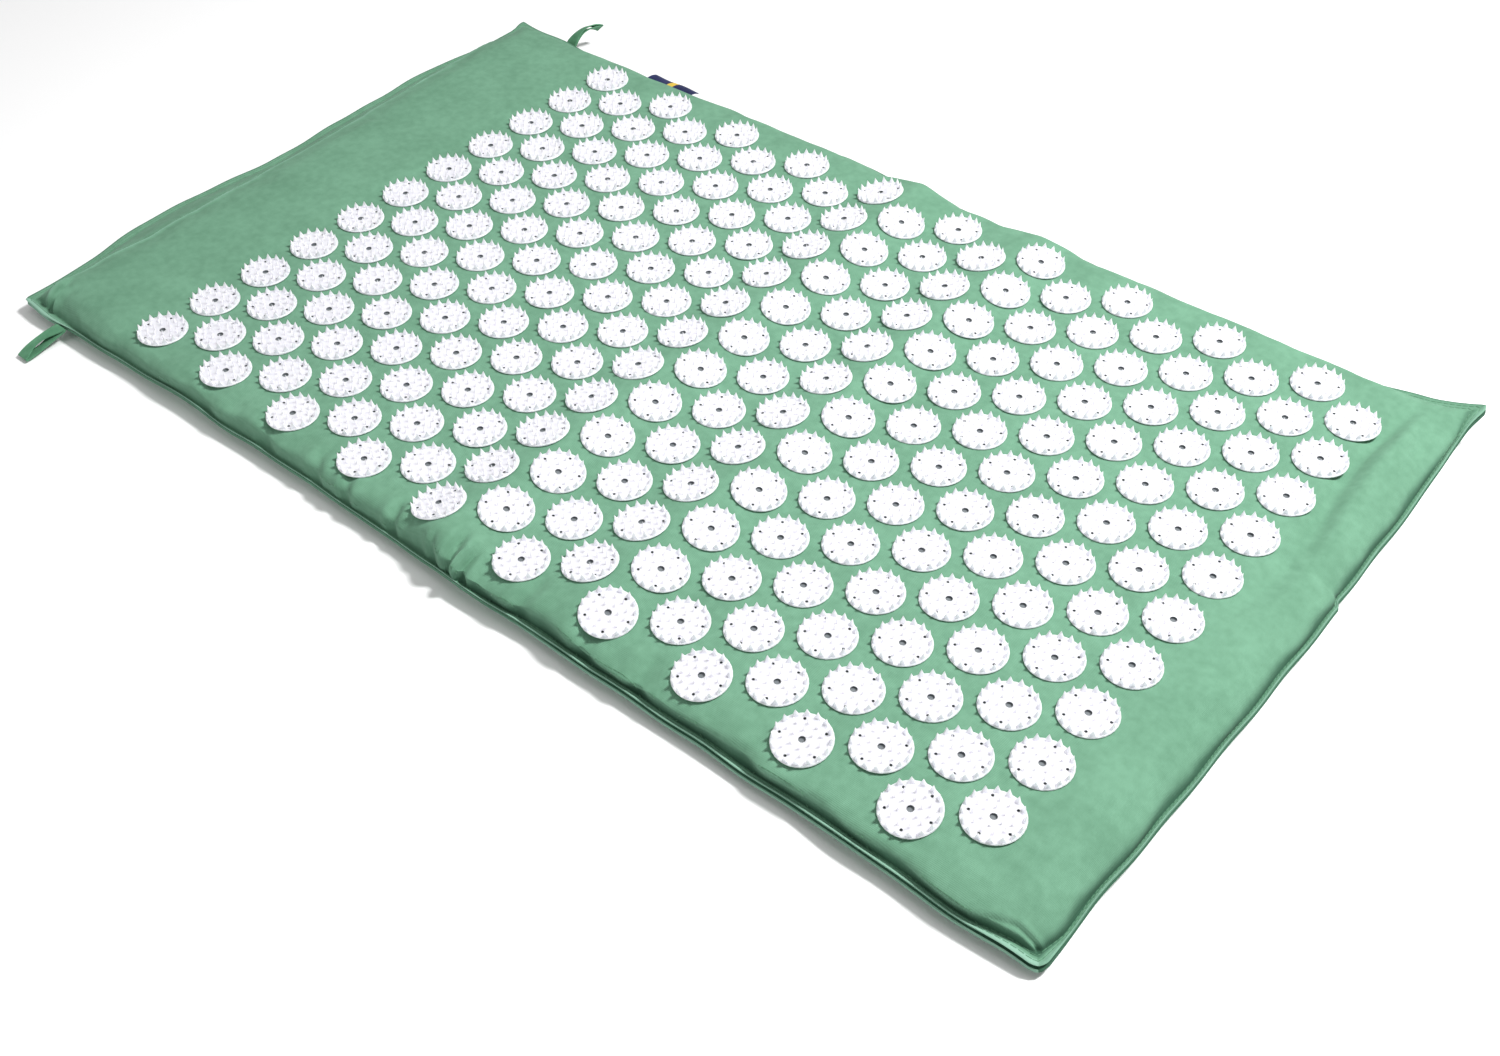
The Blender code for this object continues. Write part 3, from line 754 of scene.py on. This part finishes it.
def swollen(x, y, new_x, new_y):
    """Places moved outwards where the stuffed roll hangs over the sewn edge."""
    front, foot = HALF_WIDTH + y - FLANGE, HALF_LENGTH - x - FLANGE
    share = value_on(OVERHANG_SHARES, x) * uneven(x, FRONT_ROLL_LENGTHS, (0.25, 0.2))
    new_y = new_y - OVERHANG * share * roll_share(front) * rising(foot, OVERHANG_FADE)
    share = uneven(y, FOOT_ROLL_LENGTHS, (0.4, 0.3))
    off_corners = rising(HALF_WIDTH - abs(y) - FOOT_OVERHANG_START, FOOT_OVERHANG_FADE)
    new_x = new_x + FOOT_OVERHANG * share * roll_share(foot) * off_corners
    return new_x, new_y


zones = [(-0.344, 0.0018), (-0.095, 0.0075), (0.042, 0.0032), (0.125, 0.0048), (0.34, 0.0072)]
along = plan_lines(HALF_LENGTH, HEAD_SHOULDER, FOOT_SHOULDER, zones)
zones = [(0.040, 0.0072), (0.053, 0.0018), (0.10, 0.0072)]
across = plan_lines(HALF_WIDTH, FRONT_SHOULDER, BACK_SHOULDER, zones)
top, plan = add_panel("cover_top", along, across)
x, y = plan.T
new_x, new_y = swollen(x, y, *shaped(x, y))
rest = np.stack([new_x, new_y, top_height(x, y)], 1)
place_points(top, rest)

centres = np.array([place for column in range(COLUMNS) for place in disc_places(column)])


def disc_distance(x, y):
    """Distance of each plan point from the middle of the nearest disc."""
    return np.hypot(x[:, None] - centres[:, 0], y[:, None] - centres[:, 1]).min(1)


depth = depth_of(x, y)
held = top.vertex_groups.new(name="held")
for index in np.flatnonzero((depth <= FLANGE + 0.0001) | (disc_distance(x, y) <= DISC_RADIUS)):
    held.add([int(index)], 1.0, "REPLACE")
gathered = top.vertex_groups.new(name="gathered")
for index in np.flatnonzero(depth < GATHER_END):
    share = fading(depth[index] - FLANGE, GATHER_REACH)
    gathered.add([int(index)], float(share), "REPLACE")
puff = top.modifiers.new("puff", "CLOTH")
puff.settings.quality = 6
puff.settings.mass = 0.3
puff.settings.tension_stiffness = 15
puff.settings.compression_stiffness = 15
puff.settings.shear_stiffness = 5
puff.settings.bending_stiffness = 0.5
puff.settings.vertex_group_mass = held.name
puff.settings.use_pressure = True
puff.settings.uniform_pressure_force = PUFF_PRESSURE
puff.settings.vertex_group_shrink = gathered.name
puff.settings.shrink_min = SLACK
puff.settings.shrink_max = GATHER
puff.settings.effector_weights.gravity = 0
puff.point_cache.frame_start = 1
puff.point_cache.frame_end = PUFF_FRAMES
for number in range(1, PUFF_FRAMES + 1):
    bpy.context.scene.frame_set(number)
finish_modifier(top, puff)
moved = points_of(top) - rest
length = np.linalg.norm(moved, axis=1)
cap = PUFF_CAP * np.tanh(length / PUFF_CAP) / np.maximum(length, 1e-9)
place_points(top, rest + moved * cap[:, None])
bpy.context.scene.frame_set(1)
top.vertex_groups.clear()
subdivide_once(top)

plan = plan_of(top)
x, y = plan.T
points = points_of(top)
normals = np.array([tuple(vert.normal) for vert in top.data.vertices])
raised = np.zeros(len(points))
depth = depth_of(x, y)
off_flange = rising(depth - SEAM_CLEAR, SEAM_CLEAR_BLEND)
for place_x, place_y, reach_x, reach_y, drop in HOLLOWS:
    raised -= drop * bell(x - place_x, reach_x) * bell(y - place_y, reach_y) * off_flange
for start_x, start_y, end_x, end_y, width, drop in PUCKERS:
    run = np.array((end_x - start_x, end_y - start_y))
    length = np.hypot(*run)
    offset = plan - (start_x, start_y)
    share = offset @ run / length**2
    aside = (offset[:, 0] * run[1] - offset[:, 1] * run[0]) / length
    along_run = np.clip((share + 0.25) * 2.2, 0, 1) * np.clip((1.2 - share) * 4, 0, 1)
    crease = bell(aside, width) - 0.4 * bell(np.abs(aside) - 1.9 * width, width)
    raised -= drop * crease * along_run * off_flange

clear = rising(disc_distance(x, y) - DISC_RADIUS, RELIEF_BLEND) * off_flange
coarse = np.array([perlin.noise((22 * px, 30 * py, 0)) for px, py in plan])
fine = np.array([perlin.noise((85 * px, 95 * py, 3)) for px, py in plan])
raised += (RELIEF_COARSE * coarse + RELIEF_FINE * fine) * clear
waves = np.array([perlin.noise((45 * px + 12 * py, 9 * py, 7)) for px, py in plan])
raised += FRONT_WAVES * waves * bell(HALF_WIDTH + y - WAVES_DEPTH, WAVES_SPREAD) * off_flange

past_crease = x - CREASE_PLACE - CREASE_SWAY * np.sin(y / CREASE_SWAY_LENGTH)
crease = bell(past_crease, CREASE_WIDTH) - 0.5 * bell(past_crease - CREASE_TO_RIDGE, CREASE_WIDTH)
raised -= FOOT_CREASE * crease * value_on(CREASE_RUN, y)
past_hem = points[:, 0] - value_on(HEM_LINE, points[:, 1])
on_hem = rising(HALF_WIDTH - abs(y) - HEM_INSET, HEM_SIDE_BLEND) * rising(depth - HEM_INSET, HEM_END_BLEND)
raised += HEM_RIDGE * bell(past_hem, HEM_WIDTH) * on_hem
raised -= HEM_SINK * bell(past_hem + SINK_TO_HEM, HEM_SINK_WIDTH) * on_hem
place_points(top, points + normals * raised[:, None])

front, foot, back, head = near_side(x, y)
# Painted light on the top panel: a painted highlight on the lip at the front and foot and along the hem
# ridge, painted shade in the groove behind that lip, and a painted dark outline along the back and head
# edges.
lip = rising(LIP_WIDTH - depth, LIP_BLEND) * np.where(front, 1, 0.45)
groove = bell(depth - FLANGE + GROOVE_OUTSIDE, np.where(front, FRONT_GROOVE_WIDTH, FOOT_GROOVE_WIDTH))
groove = groove * np.where(front, value_on(FRONT_GROOVE, x), value_on(FOOT_GROOVE, y))
top_painted_light = np.where(front | foot, lip - groove, 0)
top_painted_light -= 0.6 * np.where(back | head, rising(BACK_RIM - depth, GAP_BLEND), 0)
top_painted_light += bell(past_hem, HEM_HIGHLIGHT_WIDTH) * on_hem
thicken_cover(top, top_painted_light)
top.data.materials.append(cotton)
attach(top, "mat")
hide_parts("top_panel")

top_tree = tree_of(top)

# Discs: moulded white plastic plates, each with sixteen spikes round its rim and two
# rings of spikes inside, pierced by a fixing hole and five small vents. Each is sealed
# to the cloth through its centre, turned as it happened to land.

PLATE = 0.0016
SPIKE = 0.0040
SPIKE_SINK = 0.0004
SPIKE_RADIUS = 0.0008
UNDERCUT = 0.0009
SPIKE_RINGS = ((11, 0.0093, 0.3), (6, 0.0052, 0.1))
RIM_SPIKES = 16
RIM_SPIKE_RADIUS = 0.0025
RIM_SPIKE_FLATNESS = 0.5
RIM_SPIKE_REACH = 0.0134
RIM_SPIKE_TIP = 0.0141
CENTRE_HOLE = 0.00185
VENT_HOLE = 0.0008
VENT_REACH = 0.0114
VENTS = 5
RIM_BEVEL = 0.00035
DISC_WHITE = (0.74, 0.73, 0.82)
DISC_PALE = (0.79, 0.785, 0.84)
HOLE_GREY = (0.11, 0.125, 0.14)
HOLE_PALE = (0.20, 0.22, 0.23)
GLOW_DEPTH = 0.004
GRAIN = 0.0001


def add_cylinder(sides, radius, height, place):
    bpy.ops.object.select_all(action="DESELECT")
    bpy.ops.mesh.primitive_cylinder_add(vertices=sides, radius=radius, depth=height, location=place)
    return bpy.context.object


def add_cone(sides, radius, height, place):
    bpy.ops.mesh.primitive_cone_add(vertices=sides, radius1=radius, radius2=0, depth=height, location=place)
    return bpy.context.object


def bevel_where(piece, test, width, segments):
    """Rounds the edges whose middle passes."""
    select_where(piece, "EDGE", test)
    bpy.ops.mesh.bevel(offset=width, segments=segments)
    bpy.ops.object.mode_set(mode="OBJECT")


def join_all(parts):
    """Makes one piece of several, with its origin at the frame's."""
    bpy.ops.object.select_all(action="DESELECT")
    for part in parts:
        part.select_set(True)
    bpy.context.view_layer.objects.active = parts[0]
    bpy.ops.object.join()
    bpy.ops.object.transform_apply()
    return parts[0]


def mottled(name, colours, roughness, scale, detail=2.0):
    """Material that drifts between its first and last colour. It comes with its shader, its
    node tree and the pattern of the drift."""
    material, shader = new_material(name, colours[1], roughness)
    tree = material.node_tree
    pattern = noise_of(tree, object_point(tree), scale, detail)
    tree.links.new(blend_of(tree, "MIX", pattern, colours[0], colours[2]), shader.inputs["Base Color"])
    return material, shader, tree, pattern


disc = add_cylinder(32, DISC_RADIUS, PLATE, (0, 0, PLATE / 2))
disc.name = "disc"
bpy.ops.object.transform_apply()
bevel_where(disc, lambda middle: middle.z > PLATE * 0.9, RIM_BEVEL, 1)
bevel_where(disc, lambda middle: middle.z < PLATE * 0.1, UNDERCUT, 1)

holes = [(0, 0, CENTRE_HOLE, 10)]
for number in range(VENTS):
    angle = math.tau * (number + 0.5) / VENTS
    holes.append((VENT_REACH * math.cos(angle), VENT_REACH * math.sin(angle), VENT_HOLE, 6))
drills = [add_cylinder(sides, radius, PLATE * 1.5, (*place, PLATE)) for *place, radius, sides in holes]


def cut_or_weld(piece, other, kind):
    """Cuts the other piece out of this one, or welds it on."""
    joined = piece.modifiers.new("joined", "BOOLEAN")
    joined.operation = kind
    joined.solver = "EXACT"
    joined.object = other
    finish_modifier(piece, joined)
    bpy.data.objects.remove(other, do_unlink=True)


cut_or_weld(disc, join_all(drills), "DIFFERENCE")

spikes = []
height = SPIKE + SPIKE_SINK
for number in range(RIM_SPIKES):
    cone = add_cone(4, RIM_SPIKE_RADIUS, height, (0, 0, PLATE - SPIKE_SINK + height / 2))
    cone.rotation_euler.z = math.radians(45)
    bpy.ops.object.transform_apply()
    for vert in cone.data.vertices:
        on_tip = vert.co.z > PLATE + SPIKE / 2
        vert.co.x = RIM_SPIKE_TIP if on_tip else RIM_SPIKE_REACH + RIM_SPIKE_FLATNESS * vert.co.x
    cone.rotation_euler.z = math.tau * number / RIM_SPIKES
    spikes.append(cone)
for count, reach, offset in SPIKE_RINGS:
    for number in range(count):
        angle = math.tau * (number + offset) / count
        place = (reach * math.cos(angle), reach * math.sin(angle), PLATE - SPIKE_SINK + height / 2)
        spikes.append(add_cone(5, SPIKE_RADIUS, height, place))
cut_or_weld(disc, join_all(spikes), "UNION")
bpy.ops.object.shade_flat()

whites = (DISC_WHITE, DISC_WHITE, DISC_PALE)
white_plastic, shader, tree, _ = mottled("white_plastic", whites, 0.38, 55.0, 3.0)
shader.inputs["Subsurface Weight"].default_value = 1.0
shader.inputs["Subsurface Radius"].default_value = (1, 0.97, 1)
shader.inputs["Subsurface Scale"].default_value = GLOW_DEPTH
grain = noise_of(tree, object_point(tree), 2600.0)
tree.links.new(bump_of(tree, grain, 0.15, GRAIN), shader.inputs["Normal"])
grey_core, *_ = mottled("grey_core", (HOLE_GREY, HOLE_GREY, HOLE_PALE), 0.6, 900.0)
disc.data.materials.append(white_plastic)
disc.data.materials.append(grey_core)
for face in disc.data.polygons:
    middle = face.center
    for place_x, place_y, radius, _ in holes:
        on_hole = math.hypot(middle.x - place_x, middle.y - place_y) < radius
        if on_hole and PLATE * 0.1 < middle.z < PLATE * 0.95:
            face.material_index = 1

landing = random.Random(11)
for column in range(COLUMNS):
    copies = []
    for place_x, place_y in disc_places(column):
        slopes = []
        for step in (Vector((DISC_RADIUS, 0)), Vector((0, DISC_RADIUS))):
            ahead = crown_height(place_x + step.x, place_y + step.y)
            behind = crown_height(place_x - step.x, place_y - step.y)
            slopes.append((ahead - behind) / (2 * DISC_RADIUS))
        normal = Vector((-slopes[0], -slopes[1], 1)).normalized()
        tilt = Vector((0, 0, 1)).rotation_difference(normal).to_matrix().to_4x4()
        seat = Vector((place_x, place_y, crown_height(place_x, place_y)))
        spin = Matrix.Rotation(landing.uniform(0, math.tau), 4, "Z")
        copy = bpy.data.objects.new("disc_copy", disc.data.copy())
        copy.data.transform(Matrix.Translation(seat) @ tilt @ spin)
        bpy.context.scene.collection.objects.link(copy)
        copies.append(copy)
    discs = join_all(copies)
    discs.name = f"disc_column_{column + 1:02d}"
    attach(discs, "mat")
    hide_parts("top_panel")
bpy.data.objects.remove(disc, do_unlink=True)

# Foam slab: one sheet of soft foam, cut a little smaller than the cover and slipped
# in through the mouth at the head end. The cloth presses its cut edges round and
# leaves the crease of the foot end in its top.

FOAM_COLOUR = (0.80, 0.76, 0.62)
FOAM_SHADE = (0.70, 0.65, 0.50)
FOAM_PRESSED = 0.006
FOAM_GRAIN = 0.006
FOAM_CELL = 0.0006


def lowest_over(tree, x, y, reach):
    """Lowest height of a piece over a point and its four neighbours at this reach."""
    hits = [
        tree.ray_cast(Vector((x + step_x, y + step_y, 1)), Vector((0, 0, -1)))[0]
        for step_x, step_y in ((0, 0), (reach, 0), (-reach, 0), (0, reach), (0, -reach))
    ]
    return min((hit.z for hit in hits if hit), default=None)


foam_low, foam_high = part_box("foam_core")
bpy.ops.object.select_all(action="DESELECT")
bpy.ops.mesh.primitive_cube_add(size=1, location=(foam_low + foam_high) / 2)
foam = bpy.context.object
foam.name = "foam_slab"
foam.scale = foam_high - foam_low
bpy.ops.object.transform_apply()
bevel_where(foam, lambda middle: True, FOAM_PRESSED, 4)
foam.data.remesh_voxel_size = FOAM_GRAIN
bpy.ops.object.voxel_remesh()
points = points_of(foam)
for point in points:
    above = lowest_over(top_tree, point[0], point[1], FOAM_GRAIN * 0.8)
    if above and point[2] > foam_high.z - FOAM_PRESSED:
        point[2] = min(point[2], above - CLOTH - LAYER_GAP)
points[:, 2] = np.clip(points[:, 2], foam_low.z, foam_high.z)
place_points(foam, points)
bpy.ops.object.shade_smooth()
foams = (FOAM_COLOUR, FOAM_COLOUR, FOAM_SHADE)
foam_material, shader, tree, _ = mottled("open_foam", foams, 0.95, 40.0)
cells = add_node(tree, "ShaderNodeTexVoronoi", [("Scale", 700.0)])
tree.links.new(object_point(tree), cells.inputs["Vector"])
tree.links.new(bump_of(tree, cells.outputs["Distance"], 0.5, FOAM_CELL), shader.inputs["Normal"])
foam.data.materials.append(foam_material)
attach(foam, "mat")
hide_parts("foam_core")

# Closure tapes: a hook strip and a loop strip, sewn inside the two sides of the mouth
# at the head end, bent with its lobes and pressed together. Their short pile is nylon.

TAPE_LENGTH = 0.320
TAPE_WIDTH = 0.012
TAPE_THICKNESS = 0.0010
TAPE_INSET = 0.0020
TAPE_PILE = 0.0004
TAPE_GREENS = ((0.07, 0.19, 0.11), (0.105, 0.27, 0.155), (0.14, 0.34, 0.2))

tape_material, shader, tree, pile = mottled("closure_nylon", TAPE_GREENS, 0.8, 2200.0)
tree.links.new(bump_of(tree, pile, 0.6, TAPE_PILE), shader.inputs["Normal"])
for name, node, side in (("hook_strip", "hook_tape", -1), ("loop_strip", "loop_tape", 1)):
    strip, flat = add_grid(name, 6, 80)
    middle_x = np.full(len(flat), FLANGE + TAPE_INSET + TAPE_WIDTH / 2 - HALF_LENGTH)
    new_x, new_y = shaped(middle_x, TAPE_LENGTH * flat[:, 1])
    new_x = new_x + TAPE_WIDTH * flat[:, 0]
    height = SEAM_HEIGHT + side * (TAPE_THICKNESS + LAYER_GAP) / 2 + TAPE_THICKNESS / 2
    place_points(strip, np.stack([new_x, new_y, 0 * new_x + height], 1))
    thicken(strip, TAPE_THICKNESS)
    strip.data.materials.append(tape_material)
    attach(strip, "mat")
    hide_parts(node)

# Seam stitching: lockstitch in matching thread round the whole flange, in two rows on
# both faces, and one row that holds down the hem of the mouth at the head end.

STITCH = 0.0027
STITCH_STEP = 0.0032
THREAD_RADIUS = 0.00021
HEM_ROW_INSET = 0.014
THREAD_GREENS = ((0.04, 0.15, 0.075), (0.055, 0.19, 0.095), (0.09, 0.26, 0.14))

stitch = add_cylinder(5, THREAD_RADIUS, STITCH, (0, 0, 0))
stitch.rotation_euler.y = math.radians(90)
bpy.ops.object.transform_apply()
select_where(stitch, "FACE", lambda middle: abs(middle.x) > STITCH * 0.4)
bpy.ops.mesh.inset(thickness=THREAD_RADIUS * 0.5, depth=THREAD_RADIUS * 0.5)
bpy.ops.object.mode_set(mode="OBJECT")
stitch_points = points_of(stitch)
stitch_faces = [tuple(face.vertices) for face in stitch.data.polygons]
bpy.data.objects.remove(stitch, do_unlink=True)


def row_round(depth):
    """Plan points a stitch apart, in a row at this depth from the edge all round."""
    half_x, half_y = HALF_LENGTH - depth, HALF_WIDTH - depth
    corners = [(-half_x, -half_y), (half_x, -half_y), (half_x, half_y), (-half_x, half_y)]
    points = []
    for start, end in zip(corners, corners[1:] + corners[:1]):
        count = round(math.dist(start, end) / STITCH_STEP)
        points += [tuple(Vector(start).lerp(Vector(end), (step + 0.5) / count)) for step in range(count)]
    return points


def sew(places, tree, upward):
    """Stitches on a face of the cover, each turned along its row and over the cloth."""
    made_points, made_faces = [], []
    for before, place, after in zip(places[-1:] + places[:-1], places, places[1:] + places[:1]):
        ends = []
        for other in (before, place, after):
            new_x, new_y = shaped(np.float64(other[0]), np.float64(other[1]))
            start = Vector((new_x, new_y, 1 if upward else -1))
            ends.append(tree.ray_cast(start, Vector((0, 0, -1 if upward else 1)))[0])
        if None in ends:
            continue
        heading = (ends[2] - ends[0]).normalized()
        side = Vector((0, 0, 1)).cross(heading).normalized()
        seat = Matrix((heading, side, heading.cross(side))).transposed()
        made_faces += [tuple(len(made_points) + corner for corner in face) for face in stitch_faces]
        made_points += [ends[1] + seat @ Vector(point) for point in stitch_points]
    return made_points, made_faces


bottom_tree = tree_of(bottom)
groups = [sew(row_round(depth), top_tree, True) for depth in STITCH_ROWS]
groups += [sew(row_round(depth), bottom_tree, False) for depth in STITCH_ROWS]
hem_y = np.arange(-HALF_WIDTH + HEM_ROW_INSET, HALF_WIDTH - HEM_ROW_INSET, STITCH_STEP)
hem_x = value_on(HEM_LINE, hem_y)
for _ in range(6):
    hem_x = hem_x + (value_on(HEM_LINE, hem_y) - shaped(hem_x, hem_y)[0]) * 0.7
groups.append(sew(list(zip(hem_x, hem_y)), top_tree, True))
sewn_points, sewn_faces = [], []
for more_points, more_faces in groups:
    sewn_faces += [tuple(len(sewn_points) + corner for corner in face) for face in more_faces]
    sewn_points += more_points
thread_mesh = bpy.data.meshes.new("seam_stitching")
thread_mesh.from_pydata(sewn_points, [], sewn_faces)
stitching = bpy.data.objects.new("seam_stitching", thread_mesh)
bpy.context.scene.collection.objects.link(stitching)
thread_mesh.shade_smooth()
thread_material, shader, _, _ = mottled("green_thread", THREAD_GREENS, 0.6, 3000.0)
shader.inputs["Sheen Weight"].default_value = 0.2
thread_mesh.materials.append(thread_material)
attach(stitching, "mat")

# Hanging loops: two short lengths of flat green tape, each folded double and caught in
# the side seam near the head end. The front one droops to the floor and the back one
# stands up and arches over.

LOOP_TAPE_WIDTH = 0.009
LOOP_TAPE = 0.0008
LOOP_LENGTH = 0.029
LOOP_LEAN = 1.3
LOOP_STEPS = 26
LOOP_GREENS = ((0.07, 0.21, 0.115), (0.085, 0.245, 0.135), (0.11, 0.29, 0.165))
LOOP_PITCH = 0.0006
LOOP_NARROW = 0.42
FRONT_LOOP = ("front_hanging_loop", "hanging_loop_front", "front_loop")
BACK_LOOP = ("back_hanging_loop", "hanging_loop_back", "back_loop")
LOOPS = (
    (*FRONT_LOOP, -0.325, -1, (-7, -16), 0.0, 0.0, 0.0008, 0.0038),
    (*BACK_LOOP, -0.331, 1, (58, -34), 44.0, 0.0060, 0.0, 0.0014),
)


def loop_line(start, end, share):
    """Point and heading on the middle line of a loop, as distances out and up."""
    heading = start + (end - start) * share
    radius = LOOP_LENGTH / (end - start)
    out = radius * (math.sin(heading) - math.sin(start))
    up = radius * (math.cos(start) - math.cos(heading))
    return Vector((out, up)), heading


def loop_path(start, end, opening):
    """Middle line of the tape: out along the upper layer, round the tip and back."""
    sides = ([], [])
    for step in range(LOOP_STEPS + 1):
        share = step / LOOP_STEPS
        point, heading = loop_line(start, end, share)
        gap = opening / 2 * math.sin(math.pi * share**LOOP_LEAN) + LOOP_TAPE / 2
        across = Vector((-math.sin(heading), math.cos(heading))) * gap
        sides[0].append(point + across)
        sides[1].append(point - across)
    tip, heading = loop_line(start, end, 1)
    turn_points = []
    for step in range(1, 6):
        angle = heading + math.radians(90) - math.pi * step / 6
        turn_points.append(tip + Vector((math.cos(angle), math.sin(angle))) * LOOP_TAPE / 2)
    return sides[0] + turn_points + sides[1][::-1]


def round_edges(piece, thickness):
    """Takes the sharp edges off a tape of this thickness."""
    rounded = piece.modifiers.new("rounded", "BEVEL")
    rounded.width = thickness / 4
    rounded.segments = 2
    rounded.limit_method = "ANGLE"
    rounded.angle_limit = math.radians(60)
    finish_modifier(piece, rounded)


loop_material = woven_cloth("green_tape", LOOP_GREENS, LOOP_PITCH, 0.82)
for name, node, body, loop_x, side, headings, twist, lean, splay, opening in LOOPS:
    path = loop_path(*(math.radians(heading) for heading in headings), opening)
    loop, flat = add_grid(name, 6, len(path) - 1)
    number = np.round((flat[:, 1] + 0.5) * (len(path) - 1)).astype(int)
    line = np.array([tuple(point) for point in path])[number]
    _, edge_y = shaped(np.float64(loop_x), np.float64(side * HALF_WIDTH))
    root_y = float(edge_y) + side * (LOOP_TAPE + LAYER_GAP)
    root_z = float(seam_height(loop_x, side * HALF_WIDTH))
    to_tip = 1 - abs(2 * number / (len(path) - 1) - 1)
    layer = np.where(number < len(path) / 2, -1, 1)
    width = LOOP_TAPE_WIDTH * flat[:, 0] * (1 - LOOP_NARROW * np.sin(np.pi * to_tip) ** 2)
    turned = math.radians(twist) * to_tip
    loop_points = np.stack([
        loop_x + width * np.cos(turned) + lean * to_tip + splay * layer * np.sin(np.pi * to_tip),
        root_y + side * line[:, 0],
        root_z + line[:, 1] + width * np.sin(turned),
    ], 1)
    place_points(loop, loop_points)
    wall = loop.modifiers.new("wall", "SOLIDIFY")
    wall.thickness = LOOP_TAPE
    wall.offset = 0
    finish_modifier(loop, wall)
    round_edges(loop, LOOP_TAPE)
    bpy.ops.object.shade_smooth_by_angle(angle=SMOOTH_ANGLE)
    select_where(loop, "FACE", lambda middle: True)
    bpy.ops.mesh.normals_make_consistent(inside=False)
    bpy.ops.object.mode_set(mode="OBJECT")
    loop.data.materials.append(loop_material)
    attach(loop, body)
    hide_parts(node)

# Side tag: a small woven tag of navy ribbon, folded double and caught in the back
# seam. It has one plain yellow stripe woven across its middle.

TAG_X = -0.232
TAG_WIDTH = 0.042
TAG_DEPTH = 0.010
TAG_THICKNESS = 0.0006
TAG_ROOT = math.radians(4)
TAG_TIP = math.radians(-28)
TAG_STRIPE = 0.0055
TAG_RIPPLE = 0.0004
TAG_PITCH = 0.0004
NAVIES = ((0.009, 0.012, 0.055), (0.012, 0.016, 0.075), (0.02, 0.026, 0.105))
YELLOW = (0.62, 0.42, 0.05)

tag, flat = add_grid("seam_tag", 28, 8)
_, edge_y = shaped(np.float64(TAG_X), np.float64(HALF_WIDTH))
heading = TAG_ROOT + (TAG_TIP - TAG_ROOT) * (flat[:, 1] + 0.5)
radius = TAG_DEPTH / (TAG_TIP - TAG_ROOT)
ripple = TAG_RIPPLE * np.sin(flat[:, 0] * 9) * (flat[:, 1] + 0.5)
tag_y = float(edge_y) + LAYER_GAP + TAG_THICKNESS / 2 + radius * (np.sin(heading) - math.sin(TAG_ROOT))
droop = radius * (math.cos(TAG_ROOT) - np.cos(heading))
tag_z = float(seam_height(TAG_X, HALF_WIDTH)) + droop + ripple + TAG_THICKNESS / 2
place_points(tag, np.stack([TAG_X + TAG_WIDTH * flat[:, 0], tag_y, tag_z], 1))
thicken(tag, TAG_THICKNESS)
round_edges(tag, TAG_THICKNESS)
tag_material = woven_cloth("navy_ribbon", NAVIES, TAG_PITCH, 0.7)
tree = tag_material.node_tree
shader = tree.nodes["Principled BSDF"]
ribbon = shader.inputs["Base Color"].links[0].from_socket
split = add_node(tree, "ShaderNodeSeparateXYZ")
tree.links.new(object_point(tree), split.inputs[0])
away = sum_of(tree, "ABSOLUTE", sum_of(tree, "SUBTRACT", split.outputs["X"], TAG_X), 0.0)
stripe = sum_of(tree, "LESS_THAN", away, TAG_STRIPE / 2)
tree.links.new(blend_of(tree, "MIX", stripe, ribbon, YELLOW), shader.inputs["Base Color"])
tag.data.materials.append(tag_material)
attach(tag, "tag")
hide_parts("side_tag")
